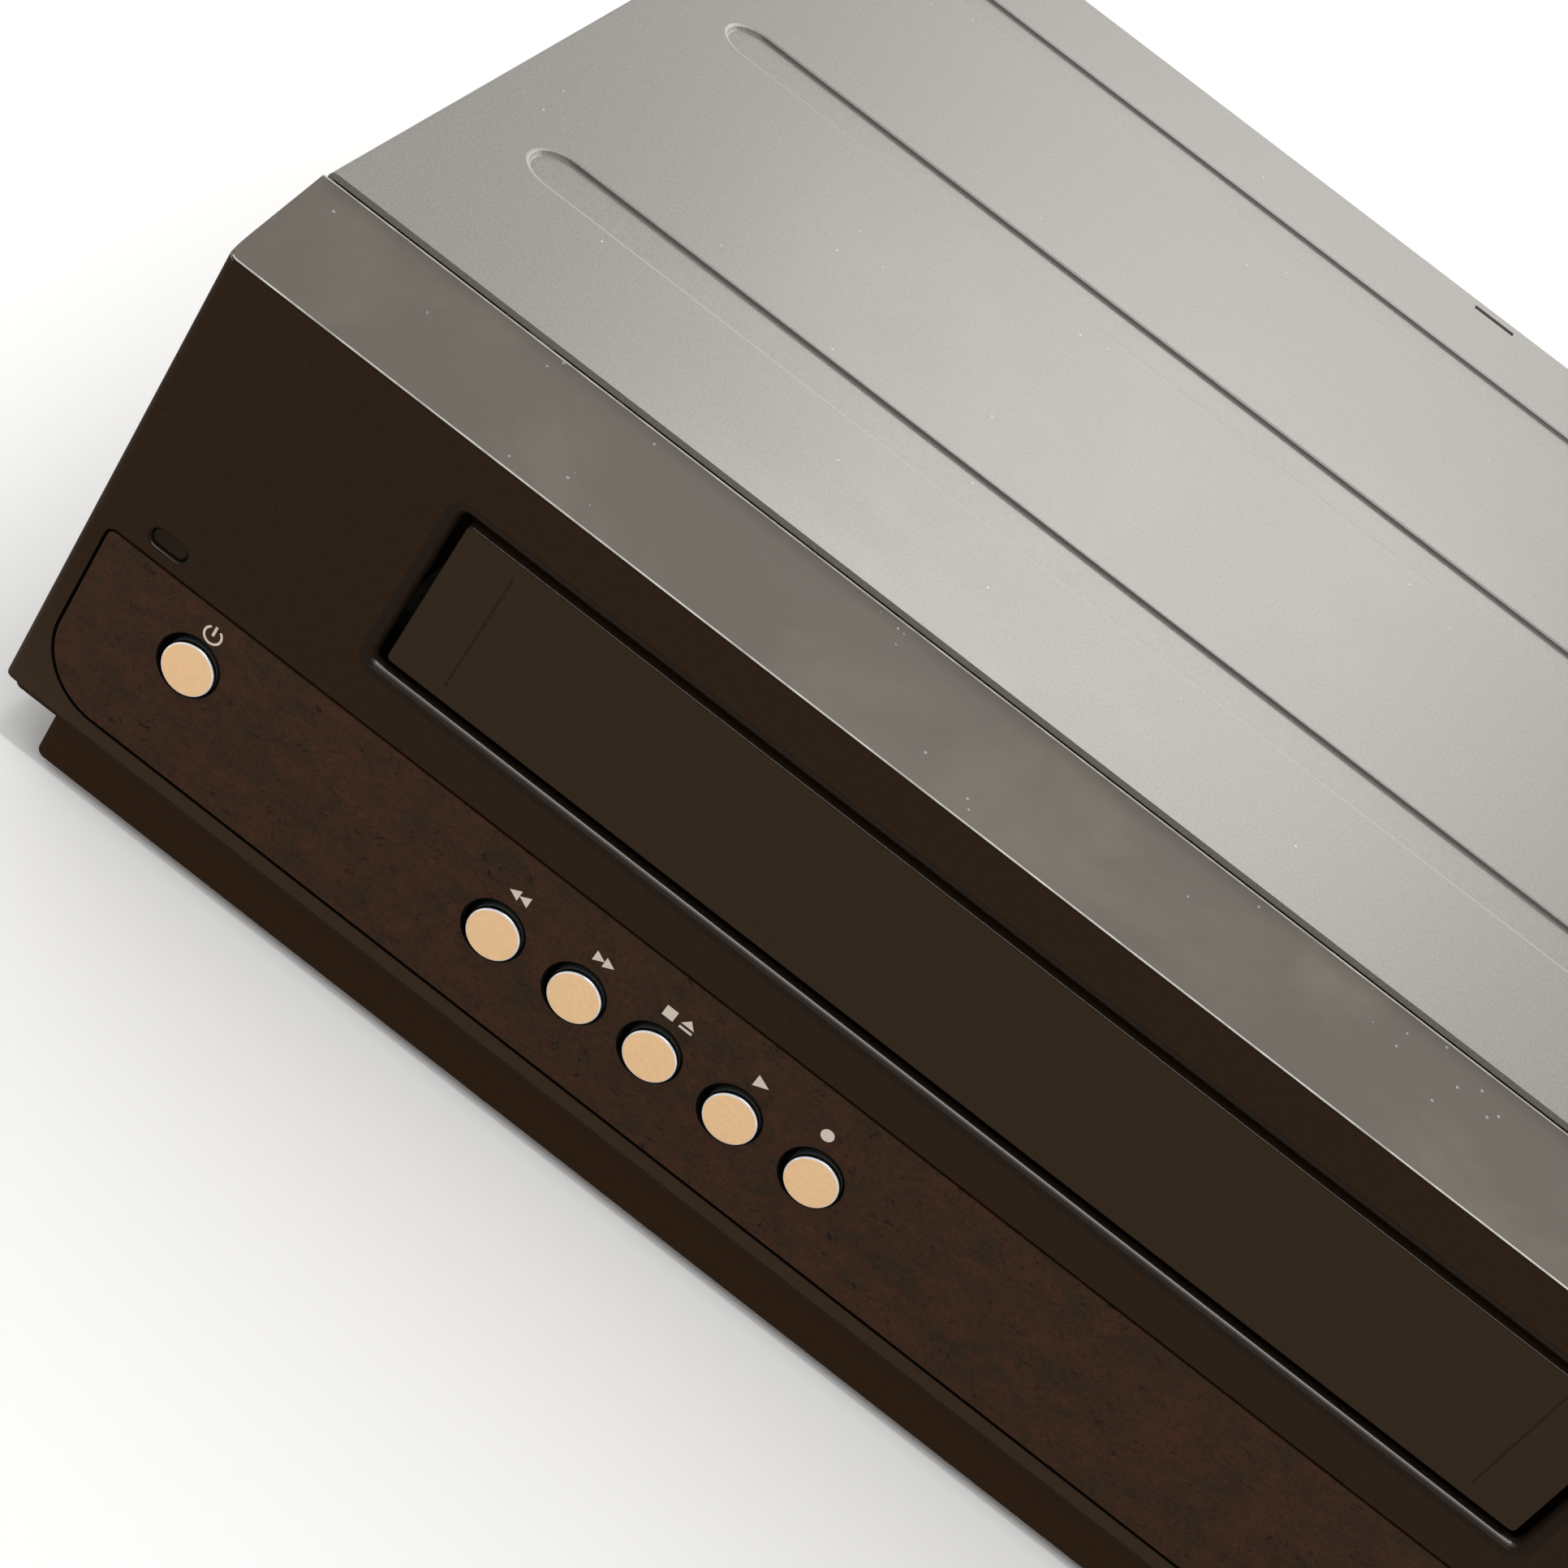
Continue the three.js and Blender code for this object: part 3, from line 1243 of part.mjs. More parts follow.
function reelTable(side) {
  const x = reelX(side);
  const low = [deckSeat, deckSeat + reel.gearHeight];
  let body = plateZ(gearOutline(reel.teeth, reel.gearRadius - reel.tooth, reel.tooth, x, reel.y), low);
  const bore = reel.shaftRadius + gap;
  const profile = [
    [bore, deckSeat],
    [reel.tableRadius, deckSeat],
    [reel.tableRadius, reel.tableTop],
    [reel.spindleRadius + reel.finWidth, reel.tableTop],
    [reel.spindleRadius, reel.tableTop + reel.finWidth],
    [reel.spindleRadius, reel.spindleTop - reel.finReach],
    [reel.spindleRadius / 2, reel.spindleTop],
    [bore, reel.spindleTop],
    [bore, deckSeat],
  ];
  body = body.add(turned(profile, x, reel.y, wheelSides));
  for (let i = 0; i < reel.finCount; i++) {
    const fin = new THREE.BoxGeometry(
      reel.finReach * 2,
      reel.finWidth,
      reel.spindleTop - reel.finReach * 2 - reel.tableTop,
    );
    const middle = (reel.tableTop + reel.spindleTop - reel.finReach * 2) / 2;
    fin.translate(reel.spindleRadius, 0, 0).rotateZ(2 * Math.PI * i / reel.finCount).translate(
      x,
      reel.y,
      middle,
    );
    body = body.add(solid(fin));
  }
  return body.subtract(barZ(x, reel.y, [deck.bottom, machine.height], bore, finePegSides));
}

function clutchGear() {
  const x = fromDeck(0);
  const gearLow = deckSeat;
  const gear = plateZ(gearOutline(clutch.teeth, clutch.radius - clutch.tooth, clutch.tooth, x, clutch.y), [
    gearLow, gearLow + clutch.height,
  ]);
  const rim = clutch.pulleyRadius;
  const groove = rim - clutch.pulleyRim;
  const low = clutch.pulleyBottom;
  const profile = [
    [0, low],
    [rim, low],
    [rim, low + clutch.pulleyRim],
    [groove, low + clutch.pulleyRim],
    [groove, low + clutch.pulleyHeight - clutch.pulleyRim],
    [rim, low + clutch.pulleyHeight - clutch.pulleyRim],
    [rim, low + clutch.pulleyHeight],
    [clutch.shaftRadius + gap, low + clutch.pulleyHeight],
    [
      clutch.shaftRadius + gap,
      gearLow + clutch.height + clutch.capHeight + idler.armThickness + clutch.capHeight,
    ],
    [0, gearLow + clutch.height + clutch.capHeight + idler.armThickness + clutch.capHeight],
  ];
  return gear.add(turned(profile, x, clutch.y, wheelSides));
}

function idlerCentreY() {
  return clutch.y - clutch.radius - idler.radius - idler.meshGap;
}

function idlerArm() {
  const x = fromDeck(0);
  const low = deckSeat + clutch.height + idler.meshGap;
  const high = low + idler.armThickness;
  const outline = stadium([x, clutch.y], [x, idlerCentreY()], idler.armWidth / 2);
  const bore = clutch.shaftRadius + 2 * gap;
  const post = barZ(x, idlerCentreY(), [deckSeat, high], idler.postRadius, finePegSides);
  const arm = plateZ(outline, [low, high]).subtract(barZ(
    x,
    clutch.y,
    [low - overrun, high + overrun],
    bore,
    finePegSides,
  ));
  return arm.add(post);
}

function idlerGear() {
  const x = fromDeck(0);
  const y = idlerCentreY();
  const gear = plateZ(gearOutline(idler.teeth, idler.radius - idler.tooth, idler.tooth, x, y), [
    deckSeat, deckSeat + clutch.height,
  ]);
  return gear.subtract(barZ(x, y, [deck.bottom, machine.height], idler.postRadius + gap, finePegSides));
}

function capstanFlywheel() {
  const x = fromDeck(capstan.x);
  const profile = [
    [0, capstan.pulleyBottom],
    [capstan.pulleyRadius, capstan.pulleyBottom],
    [capstan.pulleyRadius, capstan.flywheelBottom],
    [capstan.flywheelRadius - capstan.rimWidth, capstan.flywheelBottom],
    [capstan.flywheelRadius - capstan.rimWidth, capstan.flywheelBottom - capstan.rimDrop],
    [capstan.flywheelRadius, capstan.flywheelBottom - capstan.rimDrop],
    [capstan.flywheelRadius, capstan.flywheelTop],
    [capstan.radius, capstan.flywheelTop],
    [capstan.radius, capstan.top],
    [0, capstan.top],
  ];
  let body = turned(profile, x, capstan.y, drumSides);
  for (let i = 0; i < capstan.spokeCount; i++) {
    const angle = 2 * Math.PI * i / capstan.spokeCount;
    const holeX = x + capstan.holeOrbit * Math.cos(angle);
    const holeY = capstan.y + capstan.holeOrbit * Math.sin(angle);
    const through = [capstan.pulleyBottom, capstan.flywheelTop + overrun];
    body = body.subtract(barZ(holeX, holeY, through, capstan.holeRadius, finePegSides));
  }
  return body;
}

function capstanHousing() {
  const x = fromDeck(capstan.x);
  const bore = capstan.radius + gap;
  const profile = [
    [bore, capstan.flywheelTop + gap],
    [capstan.housingRadius, capstan.flywheelTop + gap],
    [capstan.housingRadius, deckSeat],
    [capstan.flangeRadius, deckSeat],
    [capstan.flangeRadius, deckSeat + capstan.flangeThickness],
    [capstan.housingRadius, deckSeat + capstan.flangeThickness + capstan.flangeThickness / 2],
    [capstan.housingRadius - capstan.radius, capstan.housingTop],
    [bore, capstan.housingTop],
    [bore, capstan.flywheelTop + gap],
  ];
  return turned(profile, x, capstan.y, wheelSides);
}

// The flat belt runs from the capstan's pulley round the clutch pulley's groove
function driveBelt() {
  const from = { x: fromDeck(capstan.x), y: capstan.y, radius: capstan.pulleyRadius + belt.slack };
  const to = { x: fromDeck(0), y: clutch.y, radius: clutch.pulleyRadius + belt.slack };
  const low = clutch.pulleyBottom + clutch.pulleyHeight / 2 - belt.height / 2;
  const high = [low, low + belt.height];
  const outer = plateZ(beltOutline(from, to, belt.thickness), high);
  const inner = plateZ(beltOutline(from, to, 0), [low - overrun, high[1] + overrun]);
  return outer.subtract(inner);
}

function beltOutline(from, to, grow) {
  const reach = Math.hypot(to.x - from.x, to.y - from.y);
  const heading = Math.atan2(to.y - from.y, to.x - from.x);
  const lean = Math.asin((to.radius - from.radius) / reach);
  const points = [];
  const sweep = (wheel, start, end) => {
    for (let step = 0; step <= 2 * broadCornerSteps; step++) {
      const angle = start + (end - start) * step / (2 * broadCornerSteps);
      const radius = (wheel.radius + grow) / Math.cos((end - start) / (4 * broadCornerSteps));
      points.push([wheel.x + radius * Math.cos(angle), wheel.y + radius * Math.sin(angle)]);
    }
  };
  const square = Math.PI / 2 + lean;
  sweep(to, heading - square, heading + square);
  sweep(from, heading + square, heading + 2 * Math.PI - square);
  return points;
}

function pinchArm() {
  const pivot = [fromDeck(pinch.pivotX), pinch.pivotY];
  const wheel = [fromDeck(pinch.x), pinch.y];
  const high = [pinch.armBottom, pinch.armBottom + pinch.armThickness];
  const arm = plateZ(stadium(pivot, wheel, pinch.armWidth / 2), high);
  const boss = barZ(pivot[0], pivot[1], [deckSeat, high[1] + pinch.corePin], pinch.pivotRadius, pegSides);
  const seat = barZ(wheel[0], wheel[1], [high[1] - gap, pinch.bottom - gap], pinch.hubRadius, finePegSides);
  const post = barZ(wheel[0], wheel[1], [high[0], pinch.postTop], pinch.corePin, finePegSides);
  const bore = barZ(pivot[0], pivot[1], [deck.bottom, machine.height], pinch.pinRadius + gap, finePegSides);
  return join([arm, boss, seat, post]).subtract(bore);
}

function pinchRoller() {
  const x = fromDeck(pinch.x);
  const top = pinch.bottom + pinch.height;
  const bore = pinch.corePin + gap;
  const profile = [
    [bore, pinch.bottom],
    [pinch.hubRadius, pinch.bottom],
    [pinch.hubRadius, pinch.bottom + gap],
    [pinch.radius - gap, pinch.bottom + gap],
    [pinch.radius, pinch.bottom + 2 * gap],
    [pinch.radius, top - 2 * gap],
    [pinch.radius - gap, top - gap],
    [pinch.hubRadius, top - gap],
    [pinch.hubRadius, top],
    [bore, top],
    [bore, pinch.bottom],
  ];
  return turned(profile, x, pinch.y, wheelSides);
}

// The drum leans towards the supply side, round its own pivot point
function leaned(body3d) {
  const pivot = new THREE.Vector3(fromDeck(0), drum.y, drum.pivotHeight);
  const lean = new THREE.Matrix4().makeRotationY(-drum.tilt * radians);
  const place = new THREE.Matrix4().makeTranslation(pivot.x, pivot.y, pivot.z).multiply(lean);
  return solid(body3d.applyMatrix4(place));
}

function leanedTurned(profile, sides = drumSides) {
  const points = profile.map(([radius, height]) => new THREE.Vector2(radius, height));
  return leaned(new THREE.LatheGeometry(points, sides).rotateX(Math.PI / 2));
}

function lowerDrum() {
  const ledge = drum.radius - drum.ledge;
  const body = leanedTurned([
    [0, -drum.lowerHeight],
    [ledge, -drum.lowerHeight],
    [ledge, -drum.lowerHeight + drum.ledgeHeight],
    [drum.radius, -drum.lowerHeight + drum.ledgeHeight],
    [drum.radius, -gap],
    [0, -gap],
  ]);
  const x = fromDeck(0);
  const round = drum.baseRadius;
  const outline = roundedOutline(
    [x - drum.baseHalf, drum.y - drum.baseFront],
    [x + drum.baseHalf, drum.y + drum.baseRear],
    [round, round, round, round],
  );
  const base = plateZ(outline, [deckSeat, deckSeat + drum.base]);
  const pillar = barZ(
    x,
    drum.y,
    [deckSeat, drum.pivotHeight - drum.lowerHeight],
    drum.recessRadius,
    wheelSides,
  );
  return join([body, base, pillar]);
}

function upperDrum() {
  const top = drum.upperHeight;
  let body = leanedTurned([
    [0, 0],
    [drum.radius, 0],
    [drum.radius, top - drum.capStep],
    [drum.radius - drum.capStep, top],
    [drum.recessRadius, top],
    [drum.recessRadius, top - drum.recessDepth],
    [drum.hubRadius, top - drum.recessDepth],
    [drum.hubRadius, top + drum.hubHeight - drum.recessDepth],
    [0, top + drum.hubHeight - drum.recessDepth],
  ]);
  for (let i = 0; i < drum.windowCount; i++) {
    const headWindow = new THREE.BoxGeometry(drum.windowDepth, drum.windowWidth, drum.windowHeight);
    headWindow.translate(drum.radius, 0, 0).rotateZ(2 * Math.PI * i / drum.windowCount);
    body = body.subtract(leaned(headWindow));
  }
  const orbit = (drum.recessRadius + drum.hubRadius) / 2;
  for (let i = 0; i < drum.holeCount; i++) {
    const hole = new THREE.CylinderGeometry(
      drum.holeRadius,
      drum.holeRadius,
      drum.recessDepth * 2,
      finePegSides,
    );
    hole.rotateX(Math.PI / 2).translate(orbit, 0, top - drum.recessDepth);
    hole.rotateZ(2 * Math.PI * i / drum.holeCount);
    body = body.subtract(leaned(hole));
  }
  return body;
}

// A guide carriage: a shoe on the deck, a peg in the arc slot, an upright roller and a slanted pole
function guideCarriage(side) {
  const pivot = new THREE.Vector3(fromDeck(0), guide.pivotY, 0);
  const turn = side > 0 ? -guide.startAngle * radians : Math.PI + guide.startAngle * radians;
  const place = (geometry) => {
    geometry.translate(guide.orbit, 0, 0).rotateZ(turn).translate(pivot.x, pivot.y, 0);
    return solid(geometry);
  };
  const upright = (offset, low, high, radius) => {
    const geometry = new THREE.CylinderGeometry(radius, radius, high - low, finePegSides);
    return place(geometry.rotateX(Math.PI / 2).translate(0, offset, (low + high) / 2));
  };
  const shoeTop = deckSeat + guide.shoeThickness;
  const shoe = new THREE.BoxGeometry(guide.shoeWidth, guide.shoeLength, guide.shoeThickness);
  shoe.translate(0, 0, (deckSeat + shoeTop) / 2);
  const ahead = -side * guide.slantOffset / 2;
  const lean = new THREE.CylinderGeometry(
    guide.slantRadius,
    guide.slantRadius,
    guide.slantTop - shoeTop,
    finePegSides,
  );
  lean.rotateX(Math.PI / 2 + side * guide.slantLean * radians);
  lean.translate(0, ahead * 2, (guide.slantTop + shoeTop) / 2 - overrun);
  return join([
    place(shoe),
    upright(0, guide.pegBottom, deckSeat + gap, guide.pegRadius),
    upright(-ahead, shoeTop - gap, guide.rollerBottom, guide.postRadius),
    upright(-ahead, guide.rollerBottom - guide.flangeHeight, guide.rollerBottom, guide.flangeRadius),
    upright(-ahead, guide.rollerBottom - gap, guide.rollerTop, guide.rollerRadius),
    upright(-ahead, guide.rollerTop - gap, guide.rollerTop + guide.flangeHeight, guide.flangeRadius),
    place(lean),
  ]);
}

function gearPitchRadius(teeth) {
  return loader.toothModule * teeth / 2;
}

function loadingGear() {
  const x = fromDeck(loader.gearX);
  const y = loader.gearY;
  const top = loader.bottom + loader.thickness;
  const addendum = loader.toothModule - gap / 2;
  const outline = gearOutline(loader.gearTeeth, gearPitchRadius(loader.gearTeeth), addendum, x, y);
  const hub = barZ(x, y, [loader.bottom, loader.bottom + loader.hubHeight], loader.hub, pegSides);
  let body = plateZ(outline, [loader.bottom, top]).add(hub);
  const start = [x + loader.camOrbit, y];
  const end = [x, y + loader.camOrbit];
  const groove = plateZ(stadium(start, end, loader.camWidth / 2), [top - loader.camDepth, top + overrun]);
  return cut(body, [groove, barZ(
    x,
    y,
    [deck.bottom, machine.height],
    loader.shaftRadius + gap,
    finePegSides,
  )]);
}

function pinionX() {
  const reach = gearPitchRadius(loader.gearTeeth) + gearPitchRadius(loader.pinionTeeth);
  return fromDeck(loader.gearX) - reach - gap;
}

function loadingPinion() {
  const x = pinionX();
  const y = loader.gearY;
  const addendum = loader.toothModule - gap / 2;
  const phase = Math.PI / loader.pinionTeeth;
  const pitch = gearPitchRadius(loader.pinionTeeth);
  const outline = gearOutline(loader.pinionTeeth, pitch, addendum, x, y, phase);
  const gear = plateZ(outline, [loader.bottom, loader.bottom + loader.thickness]);
  const shaft = barZ(x, y, [loader.bottom, loader.pinionTop], loader.shaftRadius, finePegSides);
  return gear.add(shaft);
}

function loadingMotor() {
  const x = pinionX();
  const y = loader.gearY;
  const top = loader.motorBottom + loader.motorHeight;
  const can = barZ(x, y, [loader.motorBottom, top], loader.motorRadius, wheelSides);
  const flats = block(
    [x - loader.motorRadius, x + loader.motorRadius],
    [y - loader.motorFlat, y + loader.motorFlat],
    [loader.motorBottom, top],
  );
  const cap = barZ(x, y, [top - gap, top + loader.capHeight], loader.capRadius, pegSides);
  const half = loader.bracketHalf;
  const sheet = loader.bracketThickness;
  const shelfTop = loader.motorBottom + gap;
  const back = y + loader.motorRadius + loader.footLength;
  const shelf = block([x - half, x + half], [y - half, back], [shelfTop - sheet, shelfTop]);
  const leg = block([x - half, x + half], [back - sheet, back], [deckSeat, shelfTop]);
  const foot = block([x - half, x + half], [back - loader.footLength, back], [deckSeat, deckSeat + sheet]);
  const bearing = barZ(
    x,
    y,
    [deck.bottom, loader.motorBottom + sheet],
    loader.shaftRadius + gap,
    finePegSides,
  );
  return join([can.intersect(flats), cap, shelf, leg, foot]).subtract(bearing);
}

// A tape head on its own small base: plate, post and head block with a rounded nose
function tapeHead(size, side) {
  const x = fromDeck(size.x);
  const halfBase = size.base / 2;
  const plate = block([x - halfBase, x + halfBase], [size.y - halfBase, size.y + halfBase], [
    deckSeat,
    deckSeat + size.plate,
  ]);
  const post = barZ(x, size.y, [deckSeat, size.bottom + gap], size.postRadius, finePegSides);
  const half = size.width / 2;
  const nose = size.depth / 2;
  const outline = roundedOutline(
    [x - half, size.y - nose],
    [x + half, size.y + nose],
    side < 0 ? [gap, nose, nose, gap] : [nose, gap, gap, nose],
  );
  return join([plate, post, plateZ(outline, [size.bottom, size.bottom + size.height])]);
}

function tensionArm() {
  const pivot = [fromDeck(tension.pivotX), tension.pivotY];
  const end = [pivot[0] + tension.reachX, pivot[1] + tension.reachY];
  const top = tension.armBottom + tension.armThickness;
  const arm = plateZ(stadium(pivot, end, tension.armWidth / 2), [tension.armBottom, top]);
  const boss = barZ(
    pivot[0],
    pivot[1],
    [deckSeat, top + tension.armThickness],
    tension.pivotRadius,
    pegSides,
  );
  const post = barZ(end[0], end[1], [tension.armBottom, tension.postTop], tension.postRadius, finePegSides);
  const bore = barZ(pivot[0], pivot[1], [deck.bottom, machine.height], tension.pinRadius + gap, finePegSides);
  return join([arm, boss, post]).subtract(bore);
}

// A span on one side of the cassette's middle, from an inner to an outer distance
function sideSpan(side, inner, outer) {
  const ends = [fromDeck(side * inner), fromDeck(side * outer)];
  return [Math.min(...ends), Math.max(...ends)];
}

function carriageBracket(side) {
  const wall = sideSpan(side, bracketInner, bracketOuter);
  const slotHalf = carriage.pinRadius + gap;
  const slotRear = carriage.pinRear + carriage.travel;
  const nose = bracket.foot;
  const outline = [
    [deck.front, deckSeat], [bracket.rear, deckSeat], [bracket.rear, bracketTop - nose],
    [bracket.rear - nose, bracketTop],
    [bracket.front, bracketTop], [bracket.front, bracket.windowTop], [deck.front, bracket.windowBottom],
  ];
  const slot = plateX(
    stadium([carriage.pinFront, carriage.pinHeight], [slotRear, carriage.pinHeight], slotHalf),
    [wall[0] - overrun, wall[1] + overrun],
  );
  const opening = block(
    [wall[0] - overrun, wall[1] + overrun],
    [deck.front + 2 * nose, bracket.rear - 2 * nose],
    [bracket.windowBottom, bracket.windowTop],
  );
  const foot = block(
    sideSpan(side, bracketInner, bracketOuter + bracket.foot),
    [deck.front, bracket.rear],
    [deckSeat, deckSeat + bracket.sheet],
  );
  return join([cut(plateX(outline, wall), [slot, opening]), foot]);
}

function carriageFrame() {
  const sheet = carriage.sheet;
  const top = carriage.top;
  const cross = block(
    [fromDeck(-carriageOuter), fromDeck(carriageOuter)],
    [carriage.front, carriage.crossRear],
    [top - sheet, top],
  );
  const half = carriage.windowWidth / 2;
  const middle = (carriage.front + carriage.crossRear) / 2;
  const opening = block(
    [fromDeck(-half), fromDeck(half)],
    [middle - carriage.windowDepth / 2, middle + carriage.windowDepth / 2],
    [top - 2 * sheet, top + sheet],
  );
  let body = cut(cross, [opening]);
  [-1, 1].forEach((side) => {
    const wall = sideSpan(side, carriageInner, carriageOuter);
    const plate = block(wall, [carriage.front, carriage.rear], [carriage.sideBottom, top]);
    const through = [wall[0] - overrun, wall[1] + overrun];
    const slots = [holder.pinFront, holder.pinRear].map((y) => plateX(
      stadium([y, holder.pinHeight - holder.drop], [y, holder.pinHeight], holder.pinRadius + gap),
      through,
    ));
    const pinSpan = sideSpan(side, carriageInner, carriageOuter + carriage.pinReach);
    const pins = [carriage.pinFront, carriage.pinRear].map((y) => barX(
      pinSpan,
      y,
      carriage.pinHeight,
      carriage.pinRadius,
      finePegSides,
    ));
    body = join([body, cut(plate, slots), ...pins]);
  });
  return body;
}

function cassetteHolder() {
  const floorTop = cassette.bottom - holder.floorDrop;
  const floorBottom = floorTop - holder.wall;
  const roofBottom = cassette.bottom + cassette.height + holder.roof;
  const roofTop = roofBottom + holder.wall;
  const roof = block(
    [fromDeck(-holderOuter), fromDeck(holderOuter)],
    [holder.roofFront, holder.roofRear],
    [roofBottom, roofTop],
  );
  const middle = (holder.roofFront + holder.roofRear) / 2;
  const windows = [-1, 1].map((side) => block(
    sideSpan(side, holder.windowShift - holder.windowWidth / 2, holder.windowShift + holder.windowWidth / 2),
    [middle - holder.windowDepth / 2, middle + holder.windowDepth / 2],
    [roofBottom - overrun, roofTop + overrun],
  ));
  const leafSprings = [-1, 1].map((side) => block(
    sideSpan(side, holder.windowShift - holder.springWidth / 2, holder.windowShift + holder.springWidth / 2),
    [middle - holder.windowDepth / 2 - overrun, middle + holder.windowDepth / 4],
    [roofBottom, roofTop],
  ));
  let body = cut(roof, windows).add(leafSprings[0]).add(leafSprings[1]);
  [-1, 1].forEach((side) => {
    const rail = block(
      sideSpan(side, holderInner - holder.railWidth, holderOuter),
      [holder.front, holder.rear],
      [floorBottom, floorTop],
    );
    const wall = block(sideSpan(side, holderInner, holderOuter), [holder.wallFront, holder.rear], [
      floorBottom,
      roofTop,
    ]);
    const stop = block(
      sideSpan(side, holderInner - holder.stopWidth, holderOuter),
      [holder.rear - holder.wall, holder.rear],
      [floorBottom, cassette.bottom + holder.stopWidth],
    );
    const pinSpan = sideSpan(side, holderInner + holder.wall / 2, holderOuter + holder.pinReach);
    const pins = [holder.pinFront, holder.pinRear].map((y) => barX(
      pinSpan,
      y,
      holder.pinHeight,
      holder.pinRadius,
      finePegSides,
    ));
    body = join([body, rail, wall, stop, ...pins]);
  });
  return body;
}

// The whole recorder

add('top_cover', topCover(), 'coverPaint');
add('bottom_pan', bottomPan(), 'zincSteel');
add('rear_panel', rearPanel(), 'zincSteel');
add('front_panel', frontPanel(), 'bezelPlastic');
add('trim_insert', trimInsert(), 'mottledTrim');
footPlaces().forEach((place, i) => add(footNames[i], rubberFoot(place), 'rubber'));
const sideX = new THREE.Vector3(1, 0, 0);
const rearY = new THREE.Vector3(0, 1, 0);
add('cassette_door', cassetteDoor(), 'bezelPlastic');
add('door_spring', hingeSpring(), 'brightSteel');
Object.entries(buttonPlaces).forEach(([name, place]) => add(name, pushButton(place), 'goldButton'));
add('led_window', lampWindow(), 'smokedWindow');
add('display_window', displayWindow(), 'smokedWindow');
add('display_module', displayModule(), 'displayGlass');
add('key_board', frontKeyBoard(), 'circuitBoard');
add('front_jacks', frontJacks(), 'blackPlastic');
add('main_board', mainBoard(), 'circuitBoard');
add('power_transformer', powerTransformer(), 'transformerTape');
add('main_capacitor', mainCapacitor(), 'capacitorSleeve');
add('heat_sink', heatSink(), 'castAluminium');
add('tuner_can', tunerCan(), 'zincSteel');
add('rear_jack_block', rearJackBlock(), 'blackPlastic');
add('mains_inlet', mainsInlet(), 'blackPlastic');
add('deck_chassis', deckChassis(), 'zincSteel');
add('carriage_bracket_left', carriageBracket(-1), 'zincSteel');
add('carriage_bracket_right', carriageBracket(1), 'zincSteel');
add('carriage', carriageFrame(), 'zincSteel');
add('cassette_holder', cassetteHolder(), 'brightSteel');
add('lower_drum', lowerDrum(), 'castAluminium');
add('upper_drum', upperDrum(), 'brightSteel');
add('capstan_flywheel', capstanFlywheel(), 'brightSteel');
add('capstan_housing', capstanHousing(), 'castAluminium');
add('pinch_arm', pinchArm(), 'zincSteel');
add('pinch_roller', pinchRoller(), 'rubber');
add('supply_reel', reelTable(-1), 'blackPlastic');
add('takeup_reel', reelTable(1), 'blackPlastic');
add('clutch_gear', clutchGear(), 'whiteResin');
add('idler_arm', idlerArm(), 'zincSteel');
add('idler_gear', idlerGear(), 'whiteResin');
add('drive_belt', driveBelt(), 'rubber');
add('supply_guide', guideCarriage(-1), 'brightSteel');
add('takeup_guide', guideCarriage(1), 'brightSteel');
add('loading_motor', loadingMotor(), 'zincSteel');
add('loading_pinion', loadingPinion(), 'whiteResin');
add('loading_gear', loadingGear(), 'whiteResin');
add('audio_head', tapeHead(audioHead, -1), 'brightSteel');
add('erase_head', tapeHead(eraseHead, 1), 'brightSteel');
add('tension_arm', tensionArm(), 'zincSteel');

const sideHead = cover.inset - gap;
add(
  'cover_screw_left',
  screwAt(sideHead, screwPlaces.sideY, screwPlaces.sideZ, sideX.clone().negate()),
  'zincSteel',
);
add(
  'cover_screw_right',
  screwAt(machine.width - sideHead, screwPlaces.sideY, screwPlaces.sideZ, sideX),
  'zincSteel',
);
const rearHead = machine.depth + gap;
add(
  'rear_screw_left',
  screwAt(rearScrewX(rearScrewShares[0]), rearHead, rearScrewHeight, rearY),
  'zincSteel',
);
add(
  'rear_screw_right',
  screwAt(rearScrewX(rearScrewShares[1]), rearHead, rearScrewHeight, rearY),
  'zincSteel',
);

// The origin is the middle of the machine's footprint, on the floor
const frontReach = -button.standProud;
const rearReach = rearFace + tuner.socketReach;
recorder.position.set(-machine.width / 2, -(frontReach + rearReach) / 2, 0);

export default recorder;
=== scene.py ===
# %% [markdown]
# # A video cassette recorder, dressed for its portrait
#
# The CAD model gives the sizes, the moving bodies and the plain solids. This lesson adds what a camera sees:
# softened edges, round holes that are really round, printed symbols, and a finish for each surface.
# New pieces start from the CAD boxes and from measures of the photograph, in the frame of the mechanism.

# %% Load the frame
import json
import math

import bmesh
import bpy
from mathutils import Matrix, Vector


